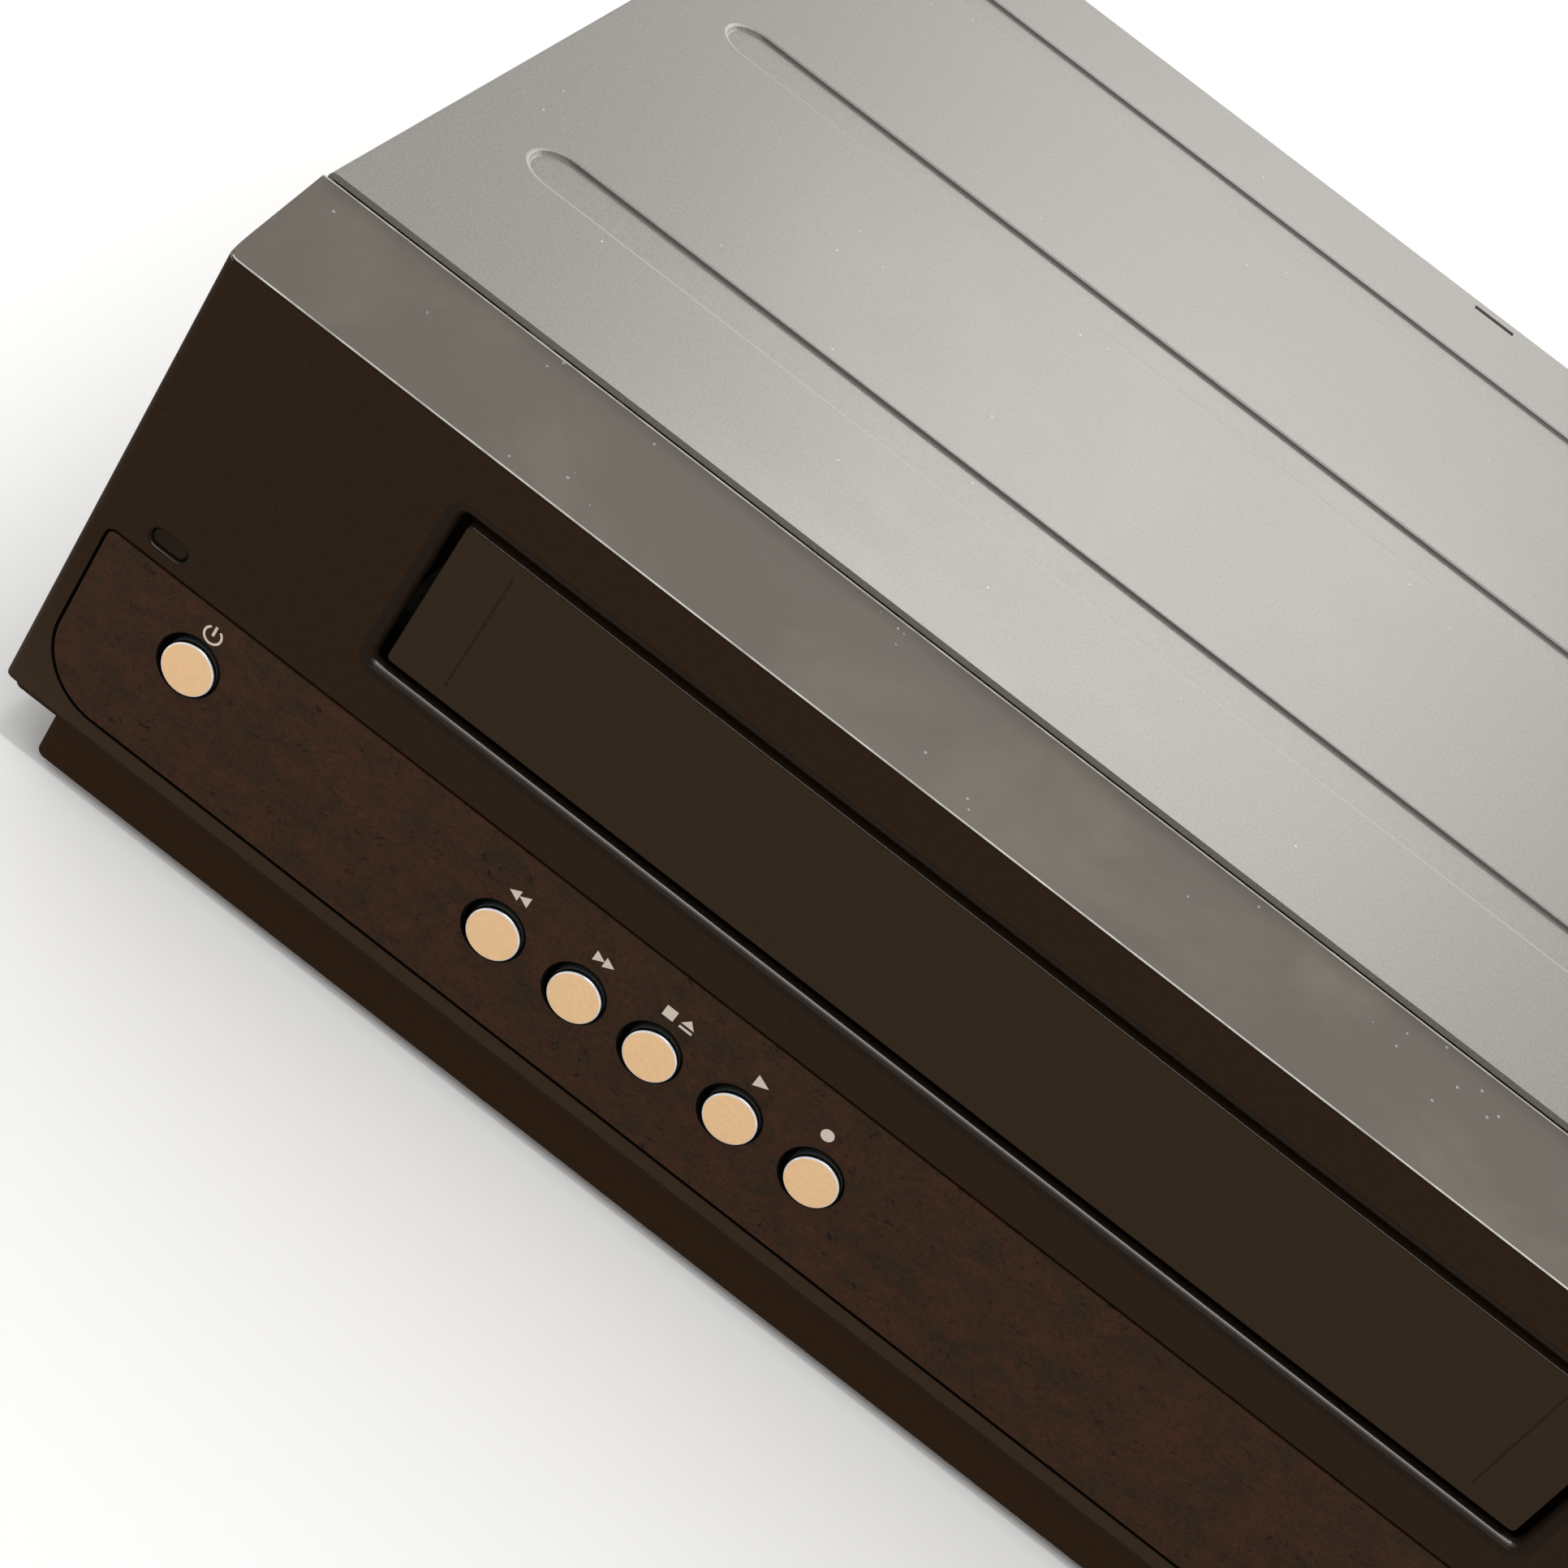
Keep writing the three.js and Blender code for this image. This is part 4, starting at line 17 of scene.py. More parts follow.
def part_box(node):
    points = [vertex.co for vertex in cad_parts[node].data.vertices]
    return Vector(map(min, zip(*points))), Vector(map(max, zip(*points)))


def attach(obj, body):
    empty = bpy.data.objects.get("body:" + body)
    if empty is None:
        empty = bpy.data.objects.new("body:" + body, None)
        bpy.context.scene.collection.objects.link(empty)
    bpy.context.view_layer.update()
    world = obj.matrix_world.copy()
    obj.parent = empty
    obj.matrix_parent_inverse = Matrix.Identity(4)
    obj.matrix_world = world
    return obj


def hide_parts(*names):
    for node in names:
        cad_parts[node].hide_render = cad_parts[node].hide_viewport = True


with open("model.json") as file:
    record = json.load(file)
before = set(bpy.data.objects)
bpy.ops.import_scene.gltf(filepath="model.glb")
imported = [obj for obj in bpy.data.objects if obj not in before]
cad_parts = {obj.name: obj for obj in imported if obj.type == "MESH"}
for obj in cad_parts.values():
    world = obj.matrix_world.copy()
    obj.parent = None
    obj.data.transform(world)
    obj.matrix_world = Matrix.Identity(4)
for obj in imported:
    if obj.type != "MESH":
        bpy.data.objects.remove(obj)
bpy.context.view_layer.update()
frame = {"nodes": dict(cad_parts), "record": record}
nodes = frame["nodes"]
MM = 0.001
print("nodes in the frame:", len(nodes))

# %% [markdown]
# ## The camera
#
# The photograph looks down on the left front corner from close by, with the camera rolled, so that the long
# front runs from the upper left to the lower right. A camera's own axes say this best: its right and up
# directions are given, and the third one, which points backwards out of the lens, follows from them.

# %% Camera
camera_place = Vector((-0.1051, -0.49085, 0.3239))
camera_right = Vector((0.7904, 0.3593, 0.4962)).normalized()
camera_up = Vector((-0.6120, 0.4269, 0.6657)).normalized()
camera_back = camera_right.cross(camera_up).normalized()
camera_up = camera_back.cross(camera_right)

lens = bpy.data.cameras.new("portrait_lens")
lens.lens = 75.67
lens.sensor_width = 36
lens.clip_start = 0.01
camera = bpy.data.objects.new("portrait_camera", lens)
camera.matrix_world = Matrix.Translation(camera_place) @ Matrix(
    (camera_right, camera_up, camera_back)
).transposed().to_4x4()
bpy.context.scene.collection.objects.link(camera)
bpy.context.scene.camera = camera
bpy.context.scene.view_settings.view_transform = "Standard"
print("camera looks along", [round(value, 3) for value in -camera_back])

# %% [markdown]
# ## Floor and light
#
# The photograph is cut out on white. A large pale floor keeps the recorder's own soft shadow. The world is
# plain white for what the camera and reflections see, and a little dimmer for the light that it gives. A
# wide lamp far behind puts the sheen on the cover, which in the photograph grows from left to right, and a
# long narrow one above the front lights the slope over the face.

# %% Small helpers for node trees
def add_node(tree, kind, settings=None, inputs=None):
    made = tree.nodes.new(kind)
    for name, value in (settings or {}).items():
        setattr(made, name, value)
    for name, value in (inputs or {}).items():
        made.inputs[name].default_value = value
    return made


def chain(tree, *links):
    for source, target in links:
        tree.links.new(source, target)


def maths(tree, operation, first, second):
    """Two values worked into one. The second may be a plain number."""
    made = add_node(tree, "ShaderNodeMath", {"operation": operation})
    tree.links.new(first, made.inputs[0])
    if isinstance(second, float):
        made.inputs[1].default_value = second
    else:
        tree.links.new(second, made.inputs[1])
    return made.outputs["Value"]


def ranged(tree, value, start, end, low=0.0, high=1.0):
    """A value that runs from low to high while the given one runs from start to end."""
    limits = {"From Min": start, "From Max": end, "To Min": low, "To Max": high}
    made = add_node(tree, "ShaderNodeMapRange", inputs=limits)
    tree.links.new(value, made.inputs["Value"])
    return made.outputs["Result"]


# %% World
world = bpy.data.worlds.new("studio")
bpy.context.scene.world = world
world.use_nodes = True
sky = world.node_tree
sky.nodes.clear()
seen = add_node(sky, "ShaderNodeBackground", inputs={"Color": (1, 1, 1, 1), "Strength": 1.0})
lighting = add_node(sky, "ShaderNodeBackground", inputs={"Color": (1, 0.99, 0.975, 1), "Strength": 0.92})
rays = add_node(sky, "ShaderNodeLightPath").outputs
mirrored = maths(sky, "MAXIMUM", rays["Is Glossy Ray"], rays["Is Transmission Ray"])
choose = add_node(sky, "ShaderNodeMixShader")
sky_output = add_node(sky, "ShaderNodeOutputWorld")
chain(
    sky,
    (maths(sky, "MAXIMUM", rays["Is Camera Ray"], mirrored), choose.inputs["Fac"]),
    (lighting.outputs["Background"], choose.inputs[1]),
    (seen.outputs["Background"], choose.inputs[2]),
    (choose.outputs["Shader"], sky_output.inputs["Surface"]),
)

# %% Floor
FLOOR_HALF = 3.0
floor_mesh = bpy.data.meshes.new("floor")
floor_form = bmesh.new()
bmesh.ops.create_grid(floor_form, x_segments=1, y_segments=1, size=FLOOR_HALF)
floor_form.to_mesh(floor_mesh)
floor_form.free()
floor = bpy.data.objects.new("floor", floor_mesh)
bpy.context.scene.collection.objects.link(floor)
floor_finish = bpy.data.materials.new("pale_floor")
floor_finish.use_nodes = True
floor_look = {"Base Color": (0.97, 0.97, 0.97, 1), "Roughness": 0.9, "Specular IOR Level": 0.1}
for socket, value in floor_look.items():
    floor_finish.node_tree.nodes["Principled BSDF"].inputs[socket].default_value = value
floor_mesh.materials.append(floor_finish)

# %% Lamps
def soft_lamp(name, place, aim, size, power, colour=(1, 1, 1)):
    light = bpy.data.lights.new(name, "AREA")
    light.shape = "RECTANGLE"
    light.size, light.size_y = size
    light.energy = power
    light.color = colour
    lamp = bpy.data.objects.new(name, light)
    direction = Vector(aim) - Vector(place)
    turn = direction.to_track_quat("-Z", "Y").to_matrix().to_4x4()
    lamp.matrix_world = Matrix.Translation(place) @ turn
    bpy.context.scene.collection.objects.link(lamp)
    return lamp


soft_lamp("rear_window", place=(-0.06, 2.00, 1.42), aim=(-0.1, 0.0, 0.1), size=(0.75, 0.5), power=12.5,
          colour=(1, 0.98, 0.95))
soft_lamp("strip", place=(0.1, -0.5, 1.6), aim=(0.1, -0.128, 0.05), size=(1.1, 0.07), power=6)

# %% [markdown]
# ## Finishes
#
# Two effects are shared. One is a fine grain, which stands for a mould's texture or for the flake of sprayed
# paint. The other is handling: rubbed patches and specks of dust. Each is a node group that puts out masks
# or a normal, and each finish places it with its own scale. All patterns read Object coordinates, in metres,
# so they stay on the piece.

# %% A new node group with named sockets
def start_group(name, inputs, outputs):
    group = bpy.data.node_groups.new(name, "ShaderNodeTree")
    for label, value in inputs:
        socket = group.interface.new_socket(label, in_out="INPUT", socket_type="NodeSocketFloat")
        socket.default_value = value
    for label, kind in outputs:
        group.interface.new_socket(label, in_out="OUTPUT", socket_type=kind)
    return group, add_node(group, "NodeGroupInput"), add_node(group, "NodeGroupOutput")


# %% Mould grain: fine bumps, and a value that varies the colour with them
grain, grain_in, grain_out = start_group(
    "mould_grain",
    [("Scale", 2500.0), ("Depth", 0.3)],
    [("Value", "NodeSocketFloat"), ("Normal", "NodeSocketVector")],
)
grain_place = add_node(grain, "ShaderNodeTexCoord")
grain_noise = add_node(grain, "ShaderNodeTexNoise", inputs={"Detail": 3.0, "Roughness": 0.6})
grain_bump = add_node(grain, "ShaderNodeBump", inputs={"Distance": 0.0001})
chain(
    grain,
    (grain_place.outputs["Object"], grain_noise.inputs["Vector"]),
    (grain_in.outputs["Scale"], grain_noise.inputs["Scale"]),
    (grain_in.outputs["Depth"], grain_bump.inputs["Strength"]),
    (grain_noise.outputs["Fac"], grain_bump.inputs["Height"]),
    (grain_noise.outputs["Fac"], grain_out.inputs["Value"]),
    (grain_bump.outputs["Normal"], grain_out.inputs["Normal"]),
)

# %% Handling: patches of faint rubbing, with sparse bright specks of dust
SPECK_PATCHES = 0.6
handling, handling_in, handling_out = start_group(
    "handling",
    [("Patch scale", 18.0), ("Speck scale", 420.0), ("Speck size", 0.06)],
    [("Rub", "NodeSocketFloat"), ("Speck", "NodeSocketFloat")],
)
handling_place = add_node(handling, "ShaderNodeTexCoord").outputs["Object"]
rub_look = {"Detail": 6.0, "Roughness": 0.65, "Distortion": 0.6}
rub_noise = add_node(handling, "ShaderNodeTexNoise", inputs=rub_look)
speck_cells = add_node(handling, "ShaderNodeTexVoronoi")
speck_patch = add_node(handling, "ShaderNodeTexNoise", inputs={"Scale": 60.0, "Detail": 2.0})
chain(
    handling,
    (handling_place, rub_noise.inputs["Vector"]),
    (handling_in.outputs["Patch scale"], rub_noise.inputs["Scale"]),
    (handling_place, speck_cells.inputs["Vector"]),
    (handling_in.outputs["Speck scale"], speck_cells.inputs["Scale"]),
    (handling_place, speck_patch.inputs["Vector"]),
)
speck_near = maths(handling, "LESS_THAN", speck_cells.outputs["Distance"], handling_in.outputs["Speck size"])
speck_gate = maths(handling, "GREATER_THAN", speck_patch.outputs["Fac"], SPECK_PATCHES)
chain(
    handling,
    (ranged(handling, rub_noise.outputs["Fac"], 0.45, 0.75), handling_out.inputs["Rub"]),
    (maths(handling, "MULTIPLY", speck_near, speck_gate), handling_out.inputs["Speck"]),
)


# %% A finish starts as plain colour and roughness, and the steps below add to it
def start_finish(name, colour, roughness, metallic=0.0, specular=0.5, coat=0.0):
    material = bpy.data.materials.new(name)
    material.use_nodes = True
    skin = material.node_tree.nodes["Principled BSDF"]
    skin.inputs["Base Color"].default_value = (*colour, 1)
    skin.inputs["Roughness"].default_value = roughness
    skin.inputs["Metallic"].default_value = metallic
    skin.inputs["Specular IOR Level"].default_value = specular
    skin.inputs["Coat Weight"].default_value = coat
    return material, material.node_tree, skin


def place_group(tree, group, values):
    placed = add_node(tree, "ShaderNodeGroup", {"node_tree": group})
    for label, value in values.items():
        placed.inputs[label].default_value = value
    return placed


def tint(tree, mask, low, high, low_at=0.3, high_at=0.7):
    """A colour that runs from low to high as the mask rises."""
    ramp = add_node(tree, "ShaderNodeValToRGB")
    ramp.color_ramp.elements[0].position = low_at
    ramp.color_ramp.elements[0].color = (*low, 1)
    ramp.color_ramp.elements[1].position = high_at
    ramp.color_ramp.elements[1].color = (*high, 1)
    tree.links.new(mask, ramp.inputs["Fac"])
    return ramp.outputs["Color"]


def lay_over(tree, mask, below, above):
    """The colour above, laid over the colour below where the mask is one."""
    mix = add_node(tree, "ShaderNodeMix", {"data_type": "RGBA"})
    tree.links.new(mask, mix.inputs["Factor"])
    tree.links.new(below, mix.inputs["A"])
    mix.inputs["B"].default_value = (*above, 1)
    return mix.outputs["Result"]


def shade(colour, factor):
    return tuple(channel * factor for channel in colour)


def grained(name, colour, roughness, scale=2500.0, depth=0.3, spread=0.12, metallic=0.0, specular=0.5,
            coat=0.0):
    """A moulded or sprayed surface: one colour that varies a little with its own grain."""
    material, tree, skin = start_finish(name, colour, roughness, metallic, specular, coat)
    texture = place_group(tree, grain, {"Scale": scale, "Depth": depth})
    colours = tint(tree, texture.outputs["Value"], shade(colour, 1 - spread), shade(colour, 1 + spread))
    chain(
        tree,
        (colours, skin.inputs["Base Color"]),
        (texture.outputs["Normal"], skin.inputs["Normal"]),
    )
    return material


# %% [markdown]
# The cover is sprayed steel. Its paint holds a fine metal flake, so the colour carries a light speckle, and
# a few rubbed patches are a little smoother than the rest.
#
# In the photograph a window behind the machine makes one wall of each bead pale and leaves the other in
# shade. The even light of this scene doesn't, so the paint does. Each new piece carries the direction of its
# faces in an attribute named facing. Sloping walls that face the front left are darker than the sheet, and
# those that face the rear right are paler. Upright sides get about a third of this.

# %% Cover paint
cover_colour, cover_dust = (0.193, 0.183, 0.161), (0.62, 0.61, 0.58)
cover_finish, cover_tree, cover_skin = start_finish("cover_paint", cover_colour, 0.38)
flake = place_group(cover_tree, grain, {"Scale": 2200.0, "Depth": 0.16})
wear = place_group(cover_tree, handling, {"Patch scale": 9.0, "Speck scale": 260.0, "Speck size": 0.045})
flake_colour = tint(cover_tree, flake.outputs["Value"], shade(cover_colour, 0.82), shade(cover_colour, 1.18))
cover_rough = ranged(cover_tree, wear.outputs["Rub"], 0.0, 1.0, 0.37, 0.32)

# %% The cover's darker and paler walls
REAR_RIGHT = (0.5, 0.85, 0.0)
WALL_DARK, WALL_PALE = 0.16, 2.1
cover_facing = add_node(cover_tree, "ShaderNodeAttribute", {"attribute_name": "facing"})
cover_parts = add_node(cover_tree, "ShaderNodeSeparateXYZ")
cover_turned = add_node(cover_tree, "ShaderNodeVectorMath", {"operation": "DOT_PRODUCT"}, {1: REAR_RIGHT})
chain(
    cover_tree,
    (cover_facing.outputs["Vector"], cover_parts.inputs["Vector"]),
    (cover_facing.outputs["Vector"], cover_turned.inputs[0]),
)
sloping = ranged(cover_tree, cover_parts.outputs["Z"], 0.1, 0.3, 0.3, 1.0)
to_front = ranged(cover_tree, cover_turned.outputs["Value"], -0.10, -0.72, 0.0, 0.95)
to_rear = ranged(cover_tree, cover_turned.outputs["Value"], 0.04, 0.24, 0.0, 0.9)
darkened = maths(cover_tree, "MULTIPLY", to_front, sloping)
paled = maths(cover_tree, "MULTIPLY", to_rear, sloping)
dark_walled = lay_over(cover_tree, darkened, flake_colour, shade(cover_colour, WALL_DARK))
both_walled = lay_over(cover_tree, paled, dark_walled, shade(cover_colour, WALL_PALE))
chain(
    cover_tree,
    (lay_over(cover_tree, wear.outputs["Speck"], both_walled, cover_dust), cover_skin.inputs["Base Color"]),
    (cover_rough, cover_skin.inputs["Roughness"]),
    (flake.outputs["Normal"], cover_skin.inputs["Normal"]),
)

# %% [markdown]
# The bezel is one dark brown moulding with several textures. Its face is matt and finely grained, and a
# little paler near its lower edge. The sloped band above it is smooth and rubbed, and much lighter: its grey
# is partly the plastic's own colour and partly a painted reflection of the light from above. The rims of its
# openings are polished, and shine most where they face upwards.

# %% Bezel face, and the recessed strip below it
BEZEL_GRAIN = dict(scale=3000.0, depth=0.25, spread=0.16)
face_colour, face_low_colour = (0.0216, 0.0113, 0.0052), (0.037, 0.0225, 0.0135)
FACE_PALING = (0.040, 0.013)
face_finish, face_tree, face_skin = start_finish("bezel_face", face_colour, 0.55, specular=0.04)
face_grain = place_group(face_tree, grain, {"Scale": BEZEL_GRAIN["scale"], "Depth": BEZEL_GRAIN["depth"]})
face_place = add_node(face_tree, "ShaderNodeTexCoord")
face_parts = add_node(face_tree, "ShaderNodeSeparateXYZ")
face_tree.links.new(face_place.outputs["Object"], face_parts.inputs["Vector"])
face_low = ranged(face_tree, face_parts.outputs["Z"], *FACE_PALING, 0.0, 0.8)
face_shades = [shade(face_colour, 1 - BEZEL_GRAIN["spread"]), shade(face_colour, 1 + BEZEL_GRAIN["spread"])]
face_grained = tint(face_tree, face_grain.outputs["Value"], *face_shades)
chain(
    face_tree,
    (lay_over(face_tree, face_low, face_grained, face_low_colour), face_skin.inputs["Base Color"]),
    (face_grain.outputs["Normal"], face_skin.inputs["Normal"]),
)
plinth_finish = grained("bezel_plinth", (0.0262, 0.0132, 0.0060), 0.6, specular=0.03, **BEZEL_GRAIN)

# %% Polished lip, and the door's face
lip_finish, lip_tree, lip_skin = start_finish("bezel_lip", (0.0155, 0.0095, 0.0060), 0.22, specular=0.04)
lip_facing = add_node(lip_tree, "ShaderNodeAttribute", {"attribute_name": "facing"})
lip_parts = add_node(lip_tree, "ShaderNodeSeparateXYZ")
lip_tree.links.new(lip_facing.outputs["Vector"], lip_parts.inputs["Vector"])
lip_polish = ranged(lip_tree, lip_parts.outputs["Z"], 0.55, 0.97, 0.03, 1.1)
lip_tree.links.new(lip_polish, lip_skin.inputs["Specular IOR Level"])
door_finish = grained("door_face", (0.028, 0.0172, 0.0092), 0.55, specular=0.04, **BEZEL_GRAIN)

# %% Band
# The band's grey is partly the plastic's own colour and partly a painted reflection of the light from above.
band_colour_and_sheen, band_dust = (0.10, 0.085, 0.068), (0.3, 0.29, 0.27)
band_finish, band_tree, band_skin = start_finish("bezel_band", band_colour_and_sheen, 0.34, specular=0.5)
band_wear = place_group(band_tree, handling, {"Patch scale": 26.0, "Speck scale": 460.0, "Speck size": 0.11})
band_grain = place_group(band_tree, grain, {"Scale": 1800.0, "Depth": 0.07})
band_rub = tint(band_tree, band_wear.outputs["Rub"], band_colour_and_sheen, shade(band_colour_and_sheen, 1.5), 0.0, 1.0)
chain(
    band_tree,
    (lay_over(band_tree, band_wear.outputs["Speck"], band_rub, band_dust), band_skin.inputs["Base Color"]),
    (band_grain.outputs["Normal"], band_skin.inputs["Normal"]),
)

# %% [markdown]
# The trim strip is printed to look like leather or stone: dark brown, clouded with redder patches, and
# scattered with short dark flecks. Three noises of different size do that: clouds, flecks and fine fibres.

# %% Mottled trim
trim_finish, trim_tree, trim_skin = start_finish("mottled_trim", (0.036, 0.016, 0.007), 0.5, specular=0.04)
trim_place = add_node(trim_tree, "ShaderNodeTexCoord")
trim_stretch = add_node(trim_tree, "ShaderNodeMapping", inputs={"Scale": (1.0, 1.0, 1.5)})
trim_tree.links.new(trim_place.outputs["Object"], trim_stretch.inputs["Vector"])


def trim_noise(scale, detail, roughness, distortion):
    settings = {"Scale": scale, "Detail": detail, "Roughness": roughness, "Distortion": distortion}
    made = add_node(trim_tree, "ShaderNodeTexNoise", inputs=settings)
    trim_tree.links.new(trim_stretch.outputs["Vector"], made.inputs["Vector"])
    return made.outputs["Fac"]


clouds = trim_noise(170.0, 10.0, 0.74, 0.5)
flecks = trim_noise(480.0, 4.0, 0.6, 1.6)
fibres = trim_noise(1100.0, 4.0, 0.7, 0.8)
brown, red_brown = (0.0275, 0.0185, 0.0095), (0.0580, 0.0225, 0.0115)
fibre_colour, fleck_colour = (0.013, 0.0085, 0.0065), (0.011, 0.008, 0.007)
clouded = tint(trim_tree, clouds, brown, red_brown, 0.34, 0.66)
fibred = lay_over(trim_tree, ranged(trim_tree, fibres, 0.36, 0.64, 0.0, 0.5), clouded, fibre_colour)
flecked = lay_over(trim_tree, ranged(trim_tree, flecks, 0.60, 0.70), fibred, fleck_colour)
trim_bump = add_node(trim_tree, "ShaderNodeBump", inputs={"Strength": 0.25, "Distance": 0.0001})
chain(
    trim_tree,
    (flecked, trim_skin.inputs["Base Color"]),
    (flecks, trim_bump.inputs["Height"]),
    (trim_bump.outputs["Normal"], trim_skin.inputs["Normal"]),
)

# %% [markdown]
# The remaining finishes are simpler, and come from one table. Its columns are the name, the colour, the
# roughness, the scale and depth of the grain, how far the colour varies with it, and anything else.

# %% Table of plain finishes
plain_finishes = [
    ("button_gold", (0.735, 0.470, 0.242), 0.36, 1500.0, 0.05, 0.04, {}),
    ("button_wall", (0.040, 0.046, 0.044), 0.4, 700.0, 0.03, 0.05, {"specular": 0.2}),
    # The near-black colour below is painted shade, for the walls of holes, grooves and deep openings.
    ("hole_black", (0.004, 0.0035, 0.003), 0.9, 2500.0, 0.3, 0.2, {"specular": 0.02}),
    ("lamp_gloss", (0.006, 0.005, 0.004), 0.08, 300.0, 0.02, 0.1, {"coat": 0.5}),
    ("lamp_lens", (0.018, 0.0115, 0.006), 0.3, 300.0, 0.02, 0.1, {"specular": 0.03}),
    ("smoked_window", (0.006, 0.0055, 0.006), 0.09, 200.0, 0.01, 0.1, {"specular": 0.16}),
    ("display_glass", (0.02, 0.06, 0.055), 0.12, 300.0, 0.01, 0.1, {}),
    # The pale colour below is a painted highlight, for thin lines along the band's edges.
    ("bezel_edge", (0.44, 0.42, 0.38), 0.3, 300.0, 0.02, 0.3, {}),
    ("print_grey", (0.55, 0.47, 0.40), 0.6, 4000.0, 0.1, 0.06, {}),
    ("foot_rubber", (0.012, 0.012, 0.012), 0.85, 1800.0, 0.5, 0.25, {}),
    ("pan_steel", (0.50, 0.51, 0.52), 0.34, 350.0, 0.05, 0.12, {"metallic": 0.9}),
    ("rear_steel", (0.020, 0.020, 0.021), 0.45, 2200.0, 0.2, 0.2, {}),
    ("screw_steel", (0.16, 0.16, 0.17), 0.35, 900.0, 0.06, 0.15, {"metallic": 0.9}),
    ("bright_steel", (0.66, 0.67, 0.69), 0.2, 600.0, 0.04, 0.08, {"metallic": 1.0}),
    ("deck_steel", (0.52, 0.52, 0.50), 0.36, 300.0, 0.05, 0.12, {"metallic": 0.9}),
    ("tuner_steel", (0.58, 0.59, 0.60), 0.28, 260.0, 0.05, 0.12, {"metallic": 0.95}),
    ("drum_aluminium", (0.68, 0.69, 0.71), 0.22, 800.0, 0.05, 0.06, {"metallic": 1.0}),
    ("sink_aluminium", (0.60, 0.61, 0.63), 0.38, 500.0, 0.08, 0.1, {"metallic": 1.0}),
    ("black_plastic", (0.014, 0.014, 0.015), 0.42, 1600.0, 0.2, 0.2, {}),
    ("white_resin", (0.62, 0.60, 0.54), 0.4, 1200.0, 0.06, 0.05, {}),
    ("board_laminate", (0.20, 0.12, 0.045), 0.5, 500.0, 0.1, 0.18, {}),
    ("capacitor_sleeve", (0.010, 0.016, 0.06), 0.28, 200.0, 0.04, 0.1, {}),
    ("transformer_tape", (0.52, 0.34, 0.03), 0.42, 260.0, 0.1, 0.12, {}),
    ("socket_yellow", (0.70, 0.42, 0.02), 0.4, 900.0, 0.05, 0.05, {}),
    ("socket_white", (0.72, 0.70, 0.66), 0.4, 900.0, 0.05, 0.05, {}),
    ("socket_red", (0.48, 0.02, 0.015), 0.4, 900.0, 0.05, 0.05, {}),
]
finishes = {row[0]: grained(*row[:-1], **row[-1]) for row in plain_finishes}
finishes.update(
    cover_paint=cover_finish, bezel_face=face_finish, bezel_band=band_finish, bezel_lip=lip_finish,
    mottled_trim=trim_finish, door_face=door_finish, bezel_plinth=plinth_finish,
)
print("finishes:", len(finishes))

# %% [markdown]
# ## Every CAD node gets its finish
#
# A node keeps its own mesh, and only its material slots change. The record already groups the nodes by
# slot, so one table from slot to finish dresses them all.

# %% Finish of each slot
slot_finishes = {
    "bezel_plastic": "bezel_face",
    "door_plastic": "door_face",
    "gold_button": "button_gold",
    "lamp_plastic": "lamp_gloss",
}
for subpart in frame["record"]["subparts"]:
    slot_name = subpart["material_slot"]
    finish = finishes[slot_finishes.get(slot_name, slot_name)]
    for holder in nodes[subpart["node"]].material_slots:
        holder.material = finish

# %% [markdown]
# ## Working in the machine's own millimetres
#
# The new pieces are measured as a maker would: millimetres from the left side, from the front face and from
# the floor. One matrix, worked out from the bezel's CAD box, carries finished forms into the frame.

# %% From machine millimetres to the frame
bezel_low, bezel_high = (Vector(corner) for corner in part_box("front_panel"))
machine_corner = Vector((bezel_low.x, bezel_low.y, 0.0))
to_frame = Matrix.Translation(machine_corner) @ Matrix.Scale(MM, 4)
to_machine = to_frame.inverted()


def machine_box(node):
    """The lowest and highest corner of a CAD node, in machine millimetres."""
    low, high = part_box(node)
    return to_machine @ Vector(low), to_machine @ Vector(high)


machine_width = (bezel_high.x - bezel_low.x) / MM
print("machine width, mm:", round(machine_width, 1))

# %% [markdown]
# Three small tools make nearly every piece. A flat outline stands in the front plane, as a rectangle with
# bevelled corners or as a circle. A run of insets pushes it back, which rounds its front edge. And a boolean
# joins or carves two closed forms, with the cutter's material index kept on the faces that it leaves behind.

# %% Outlines that stand in the front plane
CORNER_STEPS = 8
ROUND_STEPS = 72
STAND_UP = Matrix.Rotation(math.radians(90), 4, "X")


def move(form, matrix):
    bmesh.ops.transform(form, matrix=matrix, verts=form.verts[:])


def rounded_face(low, high, radii, depth=0.0, steps=CORNER_STEPS):
    """A rectangle in the XZ plane, with radii for its low left, low right, high right and high left."""
    form = bmesh.new()
    bmesh.ops.create_grid(form, x_segments=1, y_segments=1, size=0.5)
    middle = Vector(((low[0] + high[0]) / 2, depth, (low[1] + high[1]) / 2))
    size = Matrix.Diagonal((high[0] - low[0], high[1] - low[1], 1, 1))
    move(form, Matrix.Translation(middle) @ STAND_UP @ size)
    corners = [(low[0], low[1]), (high[0], low[1]), (high[0], high[1]), (low[0], high[1])]
    for (x, z), radius in zip(corners, radii):
        if radius:
            corner = min(form.verts, key=lambda vert: abs(vert.co.x - x) + abs(vert.co.z - z))
            bmesh.ops.bevel(form, geom=[corner], offset=radius, offset_type="OFFSET", segments=steps,
                            profile=0.5, affect="VERTICES", material=-1)
    return form


def round_face(x, z, radius, depth=0.0, steps=ROUND_STEPS):
    form = bmesh.new()
    bmesh.ops.create_circle(form, cap_ends=True, radius=radius, segments=steps)
    move(form, Matrix.Translation((x, depth, z)) @ STAND_UP)
    return form


# %% Pushing an outline back into a closed form
def face_outwards(form):
    bmesh.ops.recalc_face_normals(form, faces=form.faces[:])
    if form.calc_volume(signed=True) < 0:
        bmesh.ops.reverse_faces(form, faces=form.faces[:])


